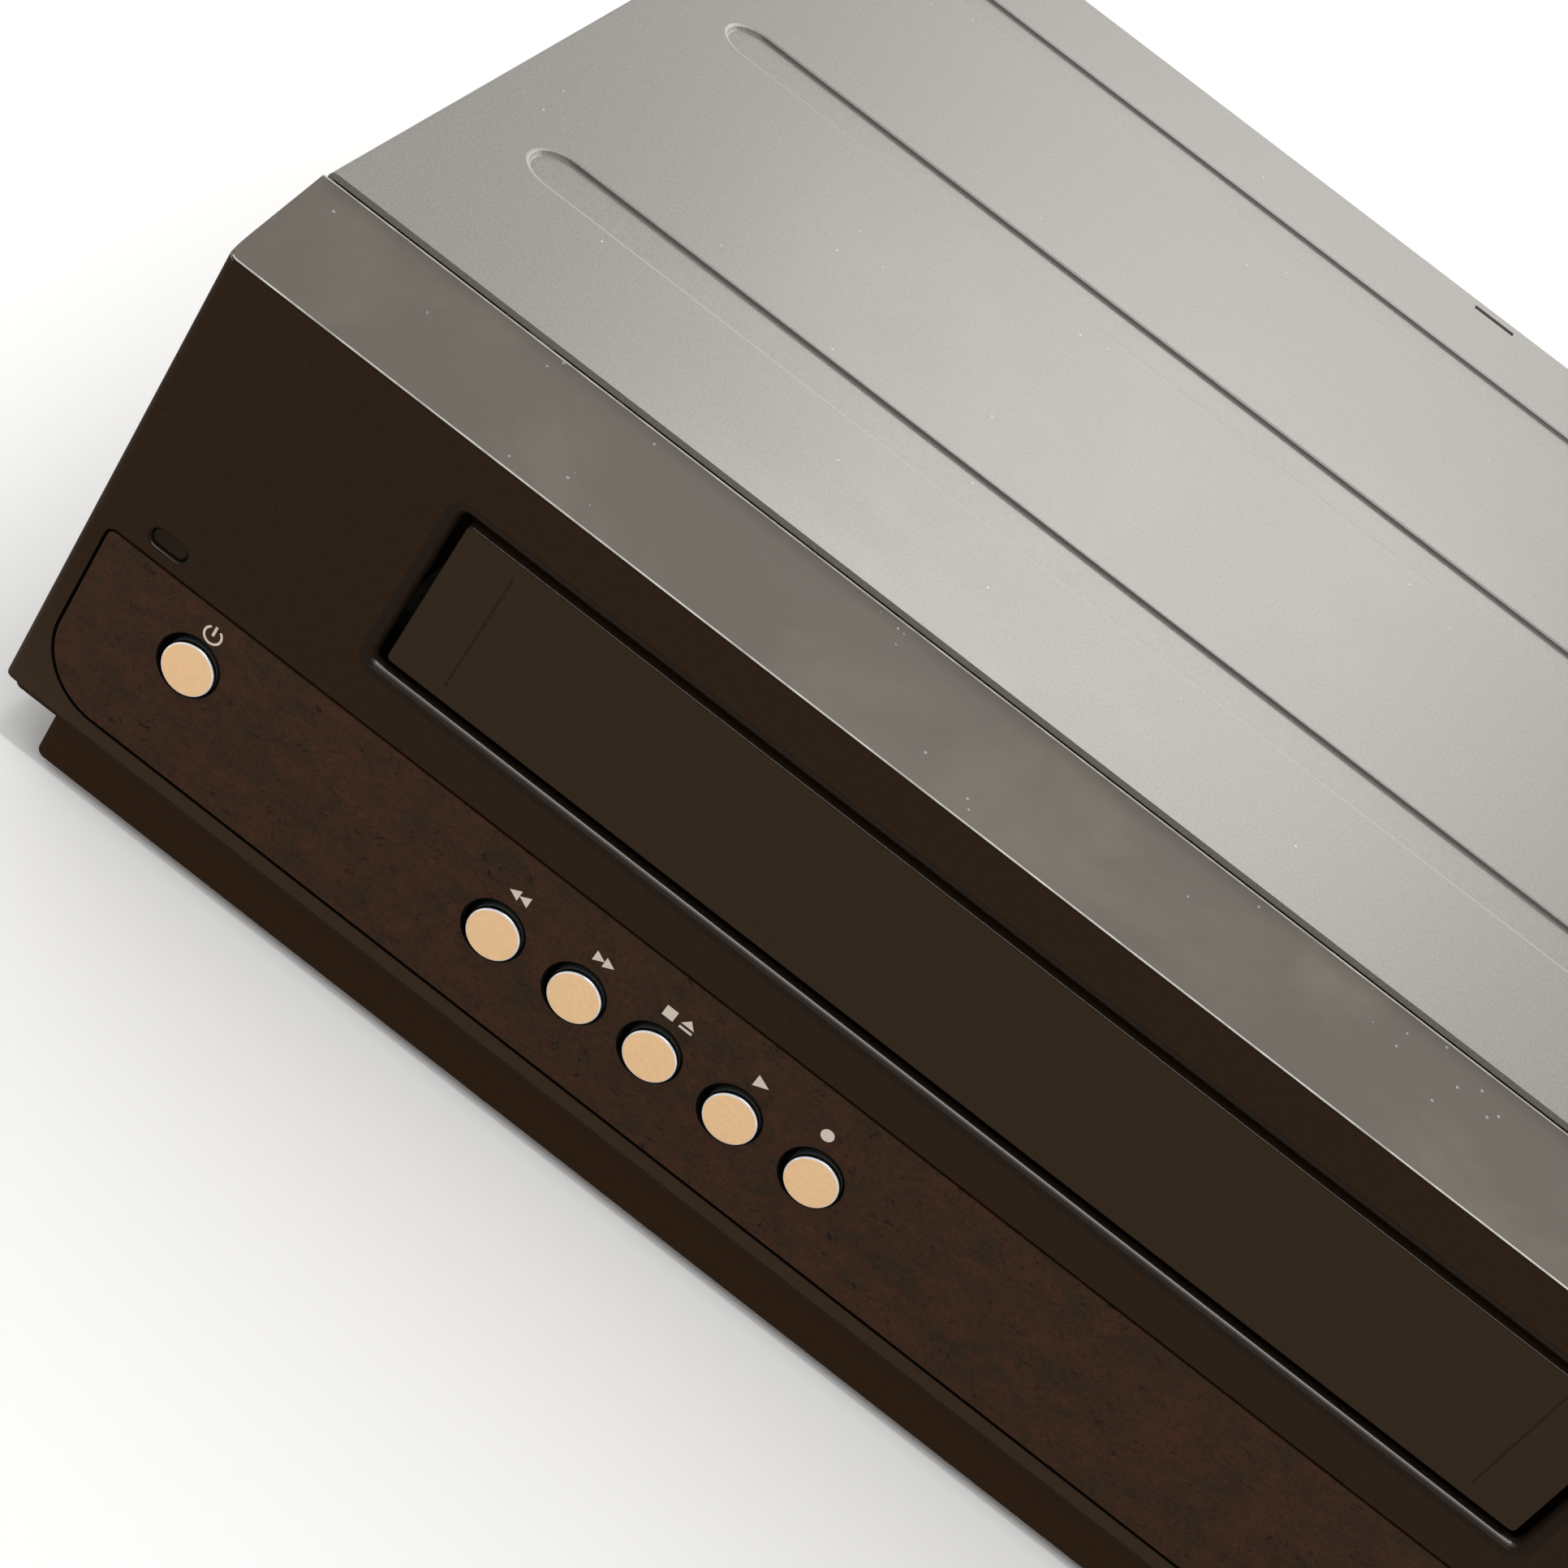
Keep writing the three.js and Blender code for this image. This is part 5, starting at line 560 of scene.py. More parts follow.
def push_back(form, steps, material=0):
    """Runs the one face of a form back through (inset, depth) steps. What it leaves behind is closed."""
    face = form.faces[:][0]
    moved = bmesh.ops.extrude_face_region(form, geom=[face])
    face = [item for item in moved["geom"] if isinstance(item, bmesh.types.BMFace)][0]
    bmesh.ops.translate(form, verts=face.verts, vec=(0, steps[0][1], 0))
    for inset, depth in steps[1:]:
        form.normal_update()
        bmesh.ops.inset_individual(form, faces=[face], thickness=inset, use_even_offset=True)
        bmesh.ops.translate(form, verts=face.verts, vec=(0, depth, 0))
    face_outwards(form)
    for made in form.faces:
        made.material_index = material
    return form


def quarter_round(radius, count=6):
    """The (inset, depth) steps that round a rim from flat to straight."""
    angles = [math.radians(90) * step / count for step in range(count + 1)]
    return [
        (radius * (math.sin(end) - math.sin(start)), radius * (math.cos(start) - math.cos(end)))
        for start, end in zip(angles, angles[1:])
    ]


CUT_AHEAD = 1.0


def opening(low, high, radius, rim, depth, material=0):
    """A cutter for a rounded opening in the front plane, whose rim flares out softly towards the front."""
    grown = [(low[0] - rim, low[1] - rim), (high[0] + rim, high[1] + rim)]
    outline = rounded_face(*grown, [radius + rim] * 4, depth=-CUT_AHEAD)
    return push_back(outline, [(0, CUT_AHEAD), *quarter_round(rim), (0, depth - rim)], material)


def round_opening(x, z, radius, rim, depth, material=0):
    outline = round_face(x, z, radius + rim, depth=-CUT_AHEAD)
    return push_back(outline, [(0, CUT_AHEAD), *quarter_round(rim, 4), (0, depth - rim)], material)


# %% Turned forms, blocks, and softened edges
def turned(profile, x, z, steps=ROUND_STEPS):
    """Spins (radius, depth) points about the front-to-back line through x and z."""
    form = bmesh.new()
    points = [form.verts.new((radius, depth, 0)) for radius, depth in profile]
    edges = [form.edges.new(pair) for pair in zip(points, points[1:])]
    bmesh.ops.spin(form, geom=points + edges, cent=(0, 0, 0), axis=(0, 1, 0), angle=math.radians(360),
                   steps=steps, use_merge=True)
    bmesh.ops.remove_doubles(form, verts=form.verts[:], dist=1e-4)
    bmesh.ops.translate(form, verts=form.verts[:], vec=(x, 0, z))
    face_outwards(form)
    return form


def block(x, y, z, material=0):
    form = bmesh.new()
    bmesh.ops.create_cube(form, size=1.0)
    middle = Vector(((x[0] + x[1]) / 2, (y[0] + y[1]) / 2, (z[0] + z[1]) / 2))
    size = Matrix.Diagonal((x[1] - x[0], y[1] - y[0], z[1] - z[0], 1))
    move(form, Matrix.Translation(middle) @ size)
    for made in form.faces:
        made.material_index = material
    return form


def soften(form, radius, chosen, segments=4):
    """Rounds the edges whose middle and direction the test accepts."""
    picked = []
    for edge in form.edges:
        start, end = (vert.co for vert in edge.verts)
        if chosen((start + end) / 2, (end - start).normalized()):
            picked.append(edge)
    bmesh.ops.bevel(form, geom=picked, offset=radius, offset_type="OFFSET", segments=segments, profile=0.5,
                    affect="EDGES", material=-1, clamp_overlap=True)
    return form


def everything(form):
    return form.verts[:] + form.edges[:] + form.faces[:]


def merge_forms(forms):
    """Several closed forms in one mesh."""
    whole = bmesh.new()
    for form in forms:
        held = bpy.data.meshes.new("held")
        form.to_mesh(held)
        form.free()
        whole.from_mesh(held)
        bpy.data.meshes.remove(held)
    return whole


def cad_form(node):
    """A CAD node's own solid as a clean form in machine millimetres."""
    form = bmesh.new()
    form.from_mesh(nodes[node].data)
    move(form, to_machine)
    bmesh.ops.remove_doubles(form, verts=form.verts[:], dist=1e-4)
    bmesh.ops.dissolve_limit(form, angle_limit=math.radians(0.5), verts=form.verts[:], edges=form.edges[:])
    return form


# %% Joining and carving
MATERIAL_SLOTS = 6


def as_object(name, form, slots=0):
    mesh = bpy.data.meshes.new(name)
    form.to_mesh(mesh)
    form.free()
    for _ in range(slots):
        mesh.materials.append(None)
    made = bpy.data.objects.new(name, mesh)
    bpy.context.scene.collection.objects.link(made)
    return made


def combine(form, others, operation):
    """Carves the other forms out of the first one, or joins them to it."""
    worked = as_object("worked", form, MATERIAL_SLOTS)
    for other in others:
        tool = as_object("tool", other, MATERIAL_SLOTS)
        boolean = worked.modifiers.new("boolean", "BOOLEAN")
        boolean.operation = operation
        boolean.solver = "EXACT"
        boolean.object = tool
        bpy.context.view_layer.update()
        done = bpy.data.meshes.new_from_object(worked.evaluated_get(bpy.context.evaluated_depsgraph_get()))
        worked.modifiers.clear()
        worked.data = done
        bpy.data.objects.remove(tool)
    result = bmesh.new()
    result.from_mesh(worked.data)
    bpy.data.objects.remove(worked)
    return result


def carve(form, *cutters):
    return combine(form, cutters, "DIFFERENCE")


def weld(form, *others):
    return combine(form, others, "UNION")


# %% A finished piece
SHARP = math.radians(32)
NORMAL_WEIGHT = 60


def open_edge_count(mesh):
    """How many edges don't join exactly two faces. A closed form has none."""
    uses = [0] * len(mesh.edges)
    for corner in mesh.loops:
        uses[corner.edge_index] += 1
    return sum(count != 2 for count in uses)


def finish_piece(name, form, finish_names, body="machine_body", stands_for=()):
    """Carries a form into the frame with its finishes and its body, and hides the CAD nodes it replaces."""
    move(form, to_frame)
    for face in form.faces:
        face.smooth = True
    for edge in form.edges:
        if len(edge.link_faces) == 2 and edge.calc_face_angle(0.0) > SHARP:
            edge.smooth = False
    made = as_object(name, form)
    facing = made.data.attributes.new("facing", "FLOAT_VECTOR", "FACE")
    for face, note in zip(made.data.polygons, facing.data):
        note.vector = face.normal
    for finish_name in finish_names:
        made.data.materials.append(finishes[finish_name])
    even = made.modifiers.new("even_shading", "WEIGHTED_NORMAL")
    even.keep_sharp = True
    even.weight = NORMAL_WEIGHT
    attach(made, body)
    if stands_for:
        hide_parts(*stands_for)
    print(f"{name}: {len(made.data.polygons)} faces, {open_edge_count(made.data)} open edges")
    return made

# %% [markdown]
# ## The bezel
#
# One moulding carries the face, the sloped band above it and the recessed strip below. It starts as a block
# whose upper front edge is pulled down to make the slope. The rounded edges come first, while there are few
# of them, and every opening is carved afterwards with its own soft rim. A cut near the band's rear edge and
# the rounding at its front each leave a narrow strip, and a pale finish paints a highlight on them: the
# band's light lines.

# %% Bezel sizes
# Material indices of the moulding. DARK is a near-black painted shade and EDGE a pale painted highlight.
FACE, BAND, LIP, DARK, PLINTH, EDGE = range(6)
BEZEL_WALL = 2.4
face_bottom, face_top = 12.4, 92.7
band_depth, band_top = 22.0, bezel_high.z / MM
# Width of the strip at the band's rear edge that takes the pale painted highlight.
HIGHLIGHT_STRIP_WIDTH = 0.3
PLINTH_DROP = 0.8
plinth_inset, plinth_recess, plinth_bottom = 8.9, 3.0, bezel_low.z / MM - PLINTH_DROP
plinth_corner, plinth_thick = 1.4, 2.7
lower_lip_inset, lower_lip_recess, lower_lip_bottom = 2.0, 0.5, 11.5
lower_lip_corner, lower_lip_floor = 1.2, 0.8
plate_left, plate_right = 46.2, 240.6
plate_bottom, plate_top = 56.0, 81.9
door_gap = {"side": 1.7, "below": 1.5, "above": 0.9, "rim": 2.0}
window_low, window_high = (266.0, 55.2), (400.0, 83.1)
lamp_place, lamp_size = (12.2, 48.8), (6.2, 3.0)
SLOT_ROUND = 0.95
print("plinth bottom, mm:", round(plinth_bottom, 2))

# %% Trim, button and jack sizes
TRIM_SHORTER = 0.5
trim_low, trim_high = machine_box("trim_insert")
trim_low.x, trim_high.x = trim_low.x + TRIM_SHORTER, trim_high.x - TRIM_SHORTER
TRIM_JOINT, TRIM_FLARE, TRIM_POCKET, TRIM_THICK = 0.42, 0.08, 1.1, 0.8
TRIM_CORNER, TRIM_TOP_CORNER, TRIM_EDGE, TRIM_STEPS = 11.0, 1.1, 0.12, 16
BUTTON_HOLE, BUTTON_FLARE = 4.85, 0.3
JACK_HOLE, JACK_FLARE, JACK_HEIGHT = 5.3, 0.2, 30.7
HOLE_RIM, HOLE_SHIFT = 0.1, (-0.5, -0.4)
button_places = {}
for name in nodes:
    if name.endswith("_button"):
        low, high = machine_box(name)
        button_places[name] = ((low.x + high.x) / 2, (low.z + high.z) / 2)
hole_places = [(x + HOLE_SHIFT[0], z + HOLE_SHIFT[1]) for x, z in button_places.values()]
jack_places = [(x, JACK_HEIGHT) for x in (384, 399, 414)]
print("buttons:", len(button_places), "front jacks:", len(jack_places))

# %% Bezel shell
def sloped_block(x, y, z, front_top):
    """A block whose top slopes up from the front."""
    form = block(x, y, z)
    front = [vert for vert in form.verts if abs(vert.co.y - y[0]) < 0.01]
    high_front = [vert for vert in front if abs(vert.co.z - z[1]) < 0.01]
    bmesh.ops.translate(form, verts=high_front, vec=(0, 0, front_top - z[1]))
    return form


UPRIGHT_EDGE, BAND_EDGE, LOWER_SIDE_EDGE, LOWER_FRONT_EDGE, PLINTH_EDGE = 1.6, 0.5, 1.3, 1.2, 0.4
FRONT_REACH, LOW_REACH, HIGH_REACH = 1.7, 13.0, 90.0
HOLLOW_DROP, HOLLOW_REAR_LIFT, HOLLOW_FRONT_LIFT = 2.48, 0.26, 0.62
bezel = sloped_block((0, machine_width), (0, band_depth), (face_bottom, band_top), face_top)
soften(bezel, UPRIGHT_EDGE, lambda middle, way: middle.y < 0.1 and abs(way.z) > 0.9, segments=6)
soften(bezel, BAND_EDGE,
       lambda middle, way: middle.y < FRONT_REACH and abs(way.z) < 0.9 and middle.z > HIGH_REACH, segments=7)
soften(bezel, LOWER_SIDE_EDGE, lambda middle, way: abs(way.y) > 0.9 and middle.z < LOW_REACH, segments=6)
soften(bezel, LOWER_FRONT_EDGE,
       lambda middle, way: middle.y < FRONT_REACH and abs(way.x) > 0.9 and middle.z < LOW_REACH, segments=5)
bmesh.ops.bisect_plane(bezel, geom=everything(bezel), plane_co=(0, band_depth - HIGHLIGHT_STRIP_WIDTH, 0),
                       plane_no=(0, 1, 0))
inner_width, inner_depth = (BEZEL_WALL, machine_width - BEZEL_WALL), (BEZEL_WALL, band_depth + CUT_AHEAD)
hollow = sloped_block(
    inner_width, inner_depth,
    (face_bottom + BEZEL_WALL, band_top - HOLLOW_DROP + HOLLOW_REAR_LIFT),
    face_top - HOLLOW_DROP + HOLLOW_FRONT_LIFT,
)

# %% The recessed strip, and the small lip over it
plinth = push_back(
    rounded_face((plinth_inset, plinth_bottom), (machine_width - plinth_inset, face_bottom + BEZEL_WALL),
                 (plinth_corner, plinth_corner, 0, 0), depth=plinth_recess),
    [(0, plinth_thick)], PLINTH,
)
soften(plinth, PLINTH_EDGE, lambda middle, way: middle.y < plinth_recess + 0.01, segments=3)
lower_lip = push_back(
    rounded_face((lower_lip_inset, lower_lip_bottom),
                 (machine_width - lower_lip_inset, face_bottom + BEZEL_WALL),
                 (lower_lip_corner, lower_lip_corner, 0, 0), depth=lower_lip_recess),
    [(0, band_depth - lower_lip_recess)], PLINTH,
)
lower_hollow = block(inner_width, inner_depth, (face_bottom + lower_lip_floor, face_bottom + 2 * BEZEL_WALL))
bezel = weld(carve(bezel, hollow), carve(lower_lip, lower_hollow), plinth)

# %% Openings in the bezel
bezel_cut = BEZEL_WALL + CUT_AHEAD
door_opening = opening(
    (plate_left - door_gap["side"], plate_bottom - door_gap["below"]),
    (plate_right + door_gap["side"], plate_top + door_gap["above"]),
    radius=1.2, rim=door_gap["rim"], depth=bezel_cut, material=LIP,
)
window_opening = opening(window_low, window_high, radius=1.4, rim=0.2, depth=bezel_cut)
grow = TRIM_JOINT + TRIM_FLARE
pocket_corners = [TRIM_CORNER + grow] * 2 + [TRIM_TOP_CORNER + grow] * 2
trim_pocket = push_back(
    rounded_face((trim_low.x - grow, trim_low.z - grow), (trim_high.x + grow, trim_high.z + grow),
                 pocket_corners, depth=-CUT_AHEAD, steps=TRIM_STEPS),
    [(0, CUT_AHEAD), *quarter_round(TRIM_FLARE, 3), (0, TRIM_POCKET)], DARK,
)
lamp_half = (lamp_size[0] / 2, lamp_size[1] / 2)
lamp_low = (lamp_place[0] - lamp_half[0], lamp_place[1] - lamp_half[1])
lamp_high = (lamp_place[0] + lamp_half[0], lamp_place[1] + lamp_half[1])
lamp_opening = opening(lamp_low, lamp_high, lamp_half[1] * SLOT_ROUND, 0.45, bezel_cut, LIP)
# The trim's pocket and the holes in the wall take DARK, the near-black painted shade.
bezel_hole = BUTTON_HOLE + HOLE_RIM
hole_cutters = [round_opening(x, z, bezel_hole, HOLE_RIM, bezel_cut, DARK) for x, z in hole_places]
hole_cutters += [round_opening(x, z, JACK_HOLE, HOLE_RIM, bezel_cut, DARK) for x, z in jack_places]
bezel = carve(bezel, door_opening, window_opening, trim_pocket, lamp_opening, *hole_cutters)

# %% Which face of the moulding has which finish: how far it faces upwards tells
TO_SLOPE, TO_BAND, TO_UNDERSIDE = 0.2, 0.9, -0.25
LINE_STARTS, LINE_ENDS = 0.7, 0.87
SLOPE_REACH, UNDERSIDE_REACH, UNDERSIDE_DEPTH = 0.6, 1.4, 3
bezel.normal_update()
for face in bezel.faces:
    middle = face.calc_center_median()
    upwards = face.normal.z
    if upwards > TO_SLOPE and middle.z > face_top - SLOPE_REACH:
        on_rounding = upwards < TO_BAND and abs(face.normal.x) < 0.3
        # The strip at the band's rear edge, and a narrow run of the front rounding, take the pale painted
        # highlight.
        on_painted_highlight = middle.y > band_depth - HIGHLIGHT_STRIP_WIDTH or on_rounding and LINE_STARTS < upwards < LINE_ENDS
        face.material_index = EDGE if on_painted_highlight else LIP if on_rounding else BAND
    elif upwards < TO_UNDERSIDE and middle.z < face_bottom + UNDERSIDE_REACH and middle.y < UNDERSIDE_DEPTH:
        face.material_index = PLINTH
    # Upright walls of the lipped openings, behind their rims, take DARK: painted shade.
    elif face.material_index == LIP and abs(face.normal.y) < 0.05 and middle.y > door_gap["rim"]:
        face.material_index = DARK
bezel_finishes = ["bezel_face", "bezel_band", "bezel_lip", "hole_black", "bezel_plinth", "bezel_edge"]
finish_piece("bezel", bezel, bezel_finishes, stands_for=["front_panel"])

# %% [markdown]
# ## The trim strip
#
# A thin printed plate lies in the bezel's pocket with a fine groove all round it. Its lower corners are
# wide arcs and its upper corners nearly square, and the buttons stand in flared round holes.

# %% Trim strip
trim = push_back(
    rounded_face((trim_low.x, trim_low.z), (trim_high.x, trim_high.z),
                 [TRIM_CORNER] * 2 + [TRIM_TOP_CORNER] * 2, steps=TRIM_STEPS),
    [(0, TRIM_THICK)],
)
soften(trim, TRIM_EDGE, lambda middle, way: middle.y < 0.01, segments=2)
# The walls of the trim's holes take the near-black painted shade.
trim_holes = [round_opening(x, z, BUTTON_HOLE, BUTTON_FLARE, BEZEL_WALL, 1) for x, z in hole_places]
trim_holes += [round_opening(x, z, JACK_HOLE, JACK_FLARE, BEZEL_WALL, 1) for x, z in jack_places]
trim = carve(trim, merge_forms(trim_holes))
finish_piece("trim_strip", trim, ["mottled_trim", "hole_black"], stands_for=["trim_insert"])

# %% [markdown]
# ## Push buttons
#
# Each button is a turned cap: a flat gold face, a bright rounded edge, a dark wall, a collar that keeps it
# behind the bezel and a stem that reaches its switch. The edge shows as a thin bright crescent at the right.
# The depth of a face behind the front of the cap says which of the four finishes it has.

# %% Push buttons
BUTTON_RADIUS, BUTTON_PROUD, BUTTON_EDGE, BUTTON_BRIGHT = 4.28, 1.0, 0.36, 0.9
COLLAR_RADIUS, COLLAR_FRONT, COLLAR_BACK = 5.4, 2.7, 3.5
STEM_RADIUS, STEM_BACK = 2.2, 5.4
BUTTON_BANDS = (BUTTON_EDGE * 0.02, BUTTON_BRIGHT, 3.0)
BUTTON_SHIFT = (-0.1, -0.42)
# The last finish, for the hidden collar and stem, is the near-black painted shade.
BUTTON_FINISHES = ["button_gold", "bright_steel", "button_wall", "hole_black"]
button_edge = [math.radians(15) * step for step in range(7)]
button_profile = [(0, -BUTTON_PROUD)]
button_profile += [
    (BUTTON_RADIUS - BUTTON_EDGE * (1 - math.sin(angle)), -BUTTON_PROUD + BUTTON_EDGE * (1 - math.cos(angle)))
    for angle in button_edge
]
button_profile += [(BUTTON_RADIUS, BUTTON_BRIGHT - BUTTON_PROUD), (BUTTON_RADIUS, COLLAR_FRONT)]
button_profile += [(COLLAR_RADIUS, COLLAR_FRONT), (COLLAR_RADIUS, COLLAR_BACK)]
button_profile += [(STEM_RADIUS, COLLAR_BACK), (STEM_RADIUS, STEM_BACK), (0, STEM_BACK)]
for name, (x, z) in button_places.items():
    cap = turned(button_profile, x + BUTTON_SHIFT[0], z + BUTTON_SHIFT[1])
    for face in cap.faces:
        depth = face.calc_center_median().y + BUTTON_PROUD
        face.material_index = sum(depth > limit for limit in BUTTON_BANDS)
    finish_piece(name + "_cap", cap, BUTTON_FINISHES, body=name, stands_for=[name])

# %% [markdown]
# ## The cassette door
#
# The flap is a flat plate, a little behind the face, with softened edges and a fine upright groove near each
# end. Its hinge arms and pins keep their CAD shape: a copy of the node is cut off behind the plate and added.

# %% Cassette door
DOOR_FORWARD, DOOR_THICKNESS, DOOR_CORNER, DOOR_EDGE = 0.5, 3.0, 0.8, 0.4
GROOVE_INSET, GROOVE_HALF, GROOVE_DEPTH, GROOVE_MARGIN = 9.0, 0.18, 0.15, 2.6
plate_front = machine_box("cassette_door")[0].y - DOOR_FORWARD
print("door plate behind the face, mm:", round(plate_front, 2))
door = push_back(
    rounded_face((plate_left, plate_bottom), (plate_right, plate_top), [DOOR_CORNER] * 4, depth=plate_front),
    [(0, DOOR_THICKNESS)],
)
soften(door, DOOR_EDGE, lambda middle, way: middle.y < plate_front + 0.01, segments=4)
door.normal_update()
for face in door.faces:
    if 0.2 < face.normal.z < 0.98 and face.calc_center_median().y < plate_front + DOOR_EDGE:
        face.material_index = LIP
grooves = [
    block((x - GROOVE_HALF, x + GROOVE_HALF), (plate_front - CUT_AHEAD, plate_front + GROOVE_DEPTH),
          (plate_bottom + GROOVE_MARGIN, plate_top - GROOVE_MARGIN))
    for x in (plate_left + GROOVE_INSET, plate_right - GROOVE_INSET)
]
door = carve(door, *grooves)

# %% Hinge arms
ARM_OVERLAP = 0.1
hinge_arms = cad_form("cassette_door")
behind_plate = plate_front + DOOR_THICKNESS - ARM_OVERLAP
bmesh.ops.bisect_plane(hinge_arms, geom=everything(hinge_arms), plane_co=(0, behind_plate, 0),
                       plane_no=(0, -1, 0), clear_outer=True)
bmesh.ops.holes_fill(hinge_arms, edges=hinge_arms.edges[:], sides=0)
face_outwards(hinge_arms)
# The last finish is the near-black painted shade.
door_finishes = ["door_face", "door_face", "bezel_lip", "hole_black"]
finish_piece("door_flap", merge_forms([door, hinge_arms]), door_finishes, body="cassette_door",
             stands_for=["cassette_door"])

# %% [markdown]
# ## The lamp window
#
# A short slot with round ends holds a dark lens that sits a little way in. The lens is flat and faintly
# brown, and the polished rim of the slot is what catches the light. A guide behind it leads to the lamp.

# %% Lamp window
LENS_JOINT, LENS_SINK, LENS_BACK, LENS_EDGE = 0.18, 0.6, 2.4, 0.25
GUIDE_HALF, GUIDE_FRONT, GUIDE_BACK = 1.2, 2.3, 8.7
lens_low = (lamp_low[0] + LENS_JOINT, lamp_low[1] + LENS_JOINT)
lens_high = (lamp_high[0] - LENS_JOINT, lamp_high[1] - LENS_JOINT)
lens_radius = (lamp_half[1] - LENS_JOINT) * SLOT_ROUND
lens = rounded_face(lens_low, lens_high, [lens_radius] * 4, depth=LENS_SINK)
lens = push_back(lens, [(0, LENS_BACK - LENS_SINK)])
soften(lens, LENS_EDGE, lambda middle, way: middle.y < LENS_SINK + 0.01, segments=3)
light_guide = block((lamp_place[0] - GUIDE_HALF, lamp_place[0] + GUIDE_HALF), (GUIDE_FRONT, GUIDE_BACK),
                    (lamp_place[1] - GUIDE_HALF, lamp_place[1] + GUIDE_HALF))
finish_piece("lamp_lens", merge_forms([lens, light_guide]), ["lamp_lens"], stands_for=["led_window"])

# %% [markdown]
# ## The steel cover
#
# One sheet is folded down at both sides and at the back. It starts as a solid block with rounded folds, and
# the inside is carved away. The three long beads are pressed inwards: the same round-ended outline, with
# sloping sides, is first added below the sheet and then carved out of its top.

# %% Cover sizes
cover_low, cover_high = machine_box("top_cover")
SHEET, FOLD, REAR_LIP = 1.0, 1.1, 11.0
BEAD_CENTRES = (62.0, 139.0, 215.0)
BEAD_HALF, BEAD_END, BEAD_DEPTH, BEAD_SLOPE, BEAD_ROUND = 6.0, 13.0, 0.7, 1.1, 0.97
UNDER_STEPS = [(0, BEAD_DEPTH * 0.6), (BEAD_SLOPE, BEAD_DEPTH)]
OVER_STEPS = [(0, CUT_AHEAD), (0.6, 0.13), (BEAD_SLOPE - 0.8, BEAD_DEPTH - 0.25), (0.2, 0.12)]
UNDER_GROW, UNDER_SINK = 0.4, 0.5
VENT_ROWS = [150.0 + 9.0 * step for step in range(9)]
VENT_HALF, VENT_HEIGHTS = 1.2, (60, 84)
SLOT_CENTRES = (148.2, machine_width - 148.2)
SLOT_HALF, SLOT_FRONT, SLOT_BACK = 4.5, 5.2, 3.6

# %% Cover
def lying(form, height):
    """Lays a form that was made in the front plane flat: its front becomes its top, at a height."""
    lay = Matrix.Translation((0, 0, height)) @ Matrix.Rotation(math.radians(-90), 4, "X")
    move(form, lay)
    return form


def bead_form(centre, slope_steps, grow, top_height):
    low = (cover_low.x + BEAD_END - grow, centre - BEAD_HALF - grow)
    high = (cover_high.x - BEAD_END + grow, centre + BEAD_HALF + grow)
    outline = rounded_face(low, high, [(BEAD_HALF + grow) * BEAD_ROUND] * 4, steps=12)
    return lying(push_back(outline, slope_steps), top_height)


cover = block((cover_low.x, cover_high.x), (cover_low.y, cover_high.y), (cover_low.z, cover_high.z))
near_top, near_rear = cover_high.z - 0.1, cover_high.y - 0.1
soften(cover, FOLD,
       lambda middle, way: middle.z > near_top and (abs(way.y) > 0.9 or middle.y > near_rear), segments=5)
between_sides = (cover_low.x + SHEET, cover_high.x - SHEET)
inside = block(
    between_sides,
    (cover_low.y - CUT_AHEAD, cover_high.y - SHEET),
    (cover_low.z - CUT_AHEAD, cover_high.z - SHEET),
)
rear_opening = block(
    between_sides,
    (cover_high.y - SHEET - CUT_AHEAD, cover_high.y + CUT_AHEAD),
    (cover_low.z - CUT_AHEAD, cover_high.z - REAR_LIP),
)
cover = carve(cover, inside, rear_opening)
under_beads = [bead_form(y, UNDER_STEPS, UNDER_GROW, cover_high.z - UNDER_SINK) for y in BEAD_CENTRES]
over_beads = [bead_form(y, OVER_STEPS, 0.0, cover_high.z + CUT_AHEAD) for y in BEAD_CENTRES]
cover = carve(weld(cover, *under_beads), *over_beads)

# %% Vents and slots of the cover
cover_cuts = [block((0, machine_width), (y - VENT_HALF, y + VENT_HALF), VENT_HEIGHTS) for y in VENT_ROWS]
cover_cuts += [
    block((x - SLOT_HALF, x + SLOT_HALF), (cover_high.y - SLOT_FRONT, cover_high.y - SLOT_BACK),
          (cover_high.z - 2 * SHEET, cover_high.z + SHEET))
    for x in SLOT_CENTRES
]
finish_piece("steel_cover", carve(cover, *cover_cuts), ["cover_paint"], stands_for=["top_cover"])

# %% [markdown]
# ## Printed symbols
#
# Above each button is a small printed transport symbol. They are thin closed forms that stand a few
# hundredths of a millimetre off the trim, so they are real geometry and stay sharp from every side.

# %% Outlines of the symbols
PRINT_PROUD, PRINT_SUNK = 0.04, 0.02


def printed(form):
    """Turns a flat outline in the front plane into a print that stands just proud of the trim."""
    bmesh.ops.translate(form, verts=form.verts[:], vec=(0, -PRINT_PROUD, 0))
    return push_back(form, [(0, PRINT_PROUD + PRINT_SUNK)])


def arrow_head(x, z, width, height, turn=0.0):
    """A triangle that points right, then turned about its middle."""
    form = bmesh.new()
    bmesh.ops.create_circle(form, cap_ends=True, radius=1.0, segments=3)
    point_right = Matrix.Rotation(math.radians(-90), 4, "Z")
    size = Matrix.Diagonal((width / 1.5, height / math.sqrt(3), 1, 1))
    move(form, size @ point_right)
    place = Matrix.Translation((x, 0, z)) @ STAND_UP @ Matrix.Rotation(turn, 4, "Z")
    move(form, place)
    return printed(form)


def bar(x, z, width, height):
    return printed(rounded_face((x - width / 2, z - height / 2), (x + width / 2, z + height / 2), [0] * 4))


def dot(x, z, radius):
    return printed(round_face(x, z, radius, steps=40))


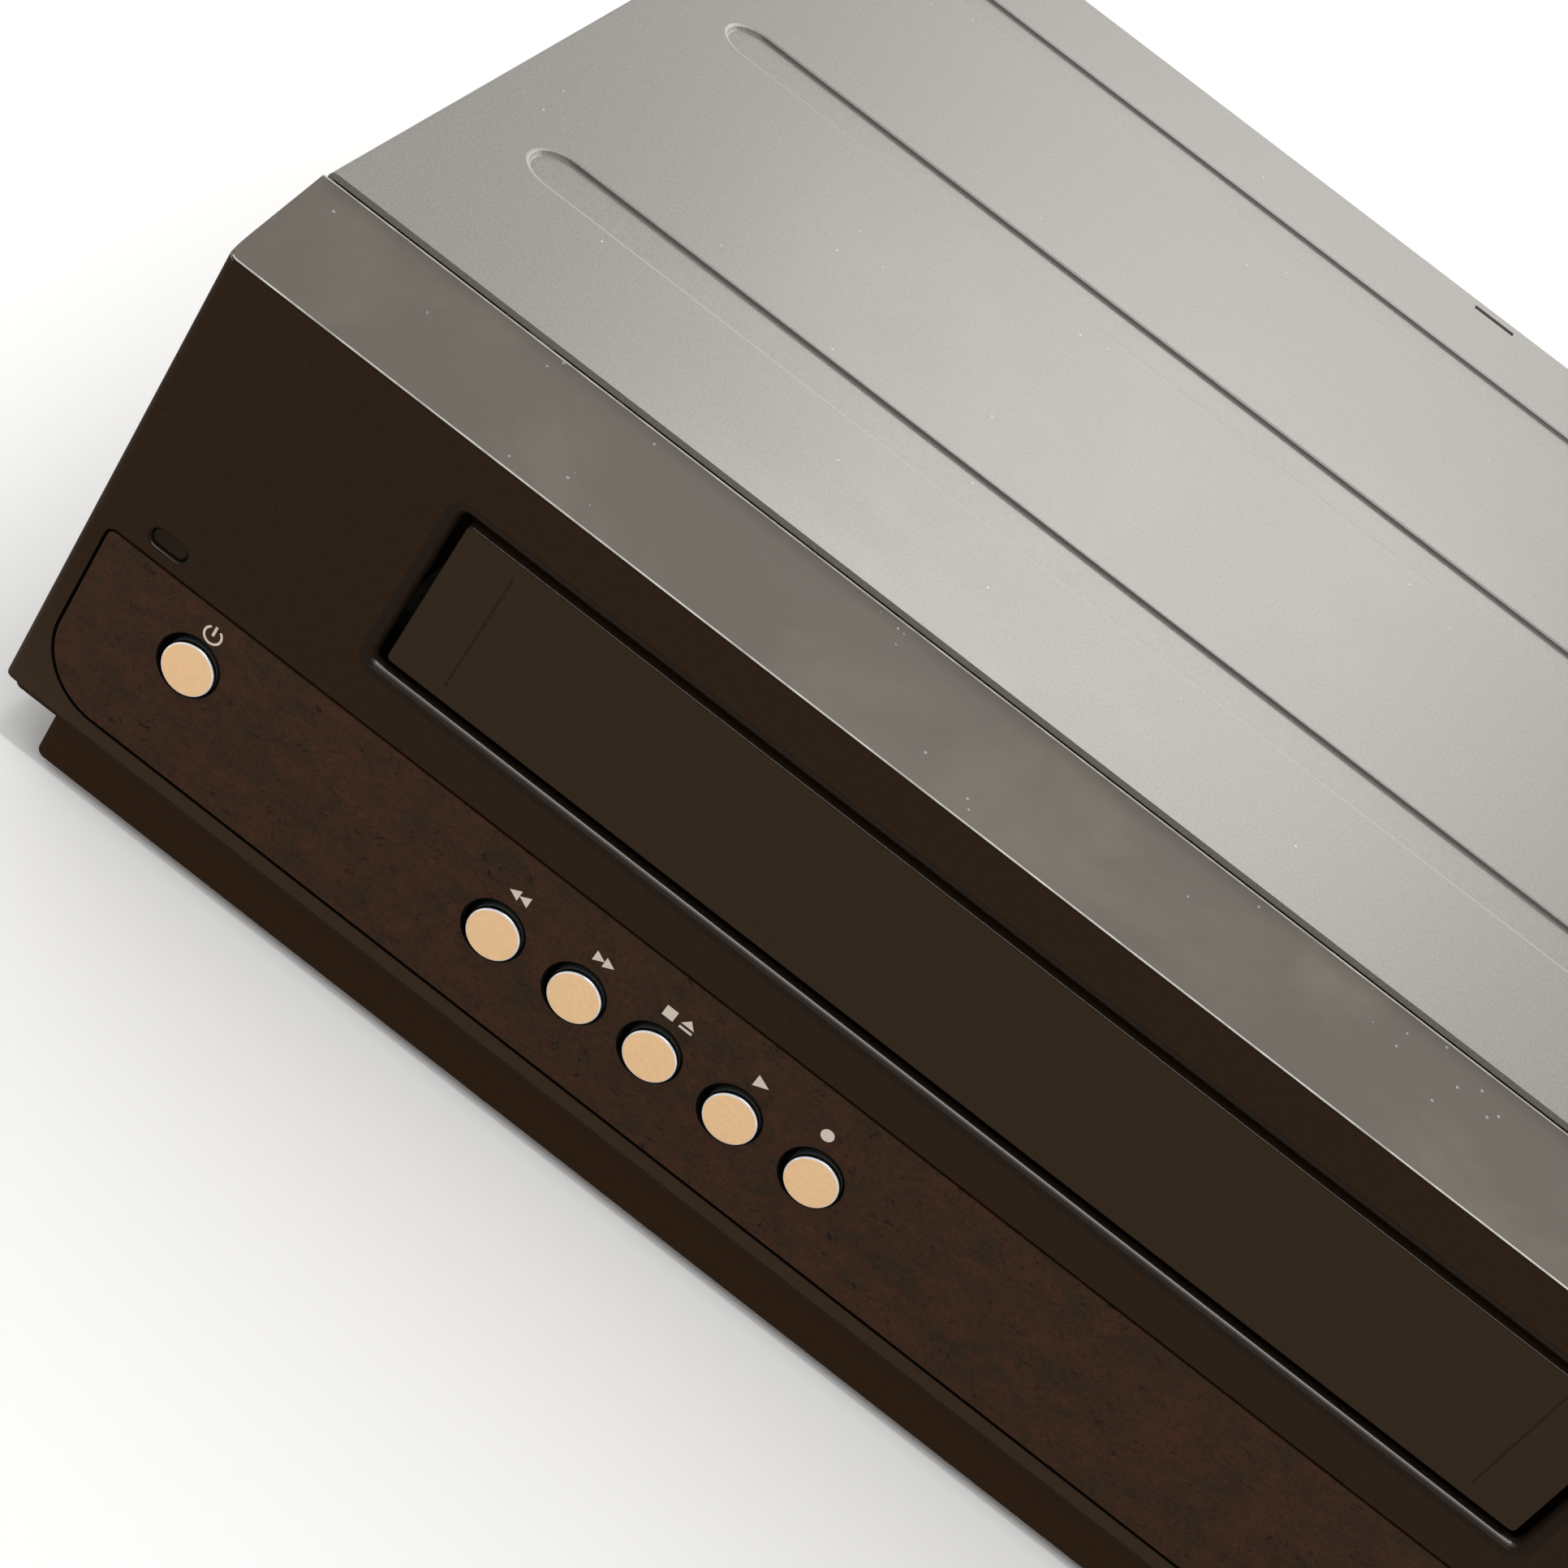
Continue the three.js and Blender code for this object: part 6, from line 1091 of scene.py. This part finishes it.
def open_ring(x, z, radius, stroke, gap_angle):
    """A ring with a gap at its top: a short bar's section spun most of the way round."""
    form = bmesh.new()
    bmesh.ops.create_grid(form, x_segments=1, y_segments=1, size=0.5)
    section = Matrix.Translation((x, -PRINT_PROUD / 2 + PRINT_SUNK / 2, z))
    section = section @ Matrix.Rotation(-gap_angle / 2, 4, "Y") @ Matrix.Translation((0, 0, radius))
    section = section @ Matrix.Rotation(math.radians(90), 4, "Y")
    size = Matrix.Diagonal((stroke, PRINT_PROUD + PRINT_SUNK, 1, 1))
    move(form, section @ size)
    bmesh.ops.spin(form, geom=everything(form), cent=(x, 0, z), axis=(0, 1, 0),
                   angle=-(math.radians(360) - gap_angle), steps=36, use_duplicate=False)
    bmesh.ops.holes_fill(form, edges=form.edges[:], sides=0)
    face_outwards(form)
    return form


# %% Printed symbols
LIFT, SYMBOL_SHIFT = 7.4, 0.15
UP, DOWN, LEFT = math.radians(90), math.radians(-90), math.pi
RING_GAP = math.radians(70)
symbols = {
    "power": lambda x, z: [
        open_ring(x + 0.3, z - 0.8, 1.4, 0.36, RING_GAP),
        bar(x + 0.3, z - 0.05, 0.42, 1.7),
    ],
    "rewind": lambda x, z: [arrow_head(x + side, z, 1.7, 1.9, LEFT) for side in (-0.85, 0.85)],
    "fast_forward": lambda x, z: [arrow_head(x + side, z, 1.7, 1.9) for side in (-0.85, 0.85)],
    "stop_eject": lambda x, z: [
        bar(x - 1.6, z, 1.9, 1.9),
        arrow_head(x + 1.5, z + 0.35, 1.3, 2.2, UP),
        bar(x + 1.5, z - 0.75, 2.2, 0.4),
    ],
    "play": lambda x, z: [arrow_head(x, z, 2.3, 2.2)],
    "record": lambda x, z: [dot(x - 2.6, z, 1.05)],
    "channel_down": lambda x, z: [arrow_head(x, z, 1.7, 2.2, DOWN)],
    "channel_up": lambda x, z: [arrow_head(x, z, 1.7, 2.2, UP)],
}
for name, forms in symbols.items():
    x, z = button_places[name + "_button"]
    finish_piece("print_" + name, merge_forms(forms(x + SYMBOL_SHIFT, z + LIFT)), ["print_grey"])

# %% [markdown]
# ## Coloured rings of the sockets
#
# The picture and sound sockets are told apart by the plastic round their holes: yellow for the picture, white
# and red for the sound. Each colour is one piece of three rings, one at the front and two at the back.

# %% Socket rings
RING_INNER, RING_OUTER, RING_THICK = 2.0, 3.5, 0.35
FRONT_RING, REAR_RING = -0.1, -0.05
SOCKET_ROWS, SOCKET_COLUMNS = (54.2, 38.2, 22.2), (8.0, 23.0)
jacks_low, jacks_high = machine_box("rear_jack_block")


def socket_ring(x, z, front):
    back = front + RING_THICK
    ring = [(RING_INNER, front), (RING_OUTER, front), (RING_OUTER, back), (RING_INNER, back)]
    return turned(ring + ring[:1], x, z)


for colour, (front_x, front_z), rear_z in zip(("yellow", "white", "red"), jack_places, SOCKET_ROWS):
    rings = [socket_ring(front_x, front_z, FRONT_RING)]
    rings += [socket_ring(jacks_low.x + x, rear_z, jacks_high.y + REAR_RING) for x in SOCKET_COLUMNS]
    finish_piece("ring_" + colour, merge_forms(rings), ["socket_" + colour])
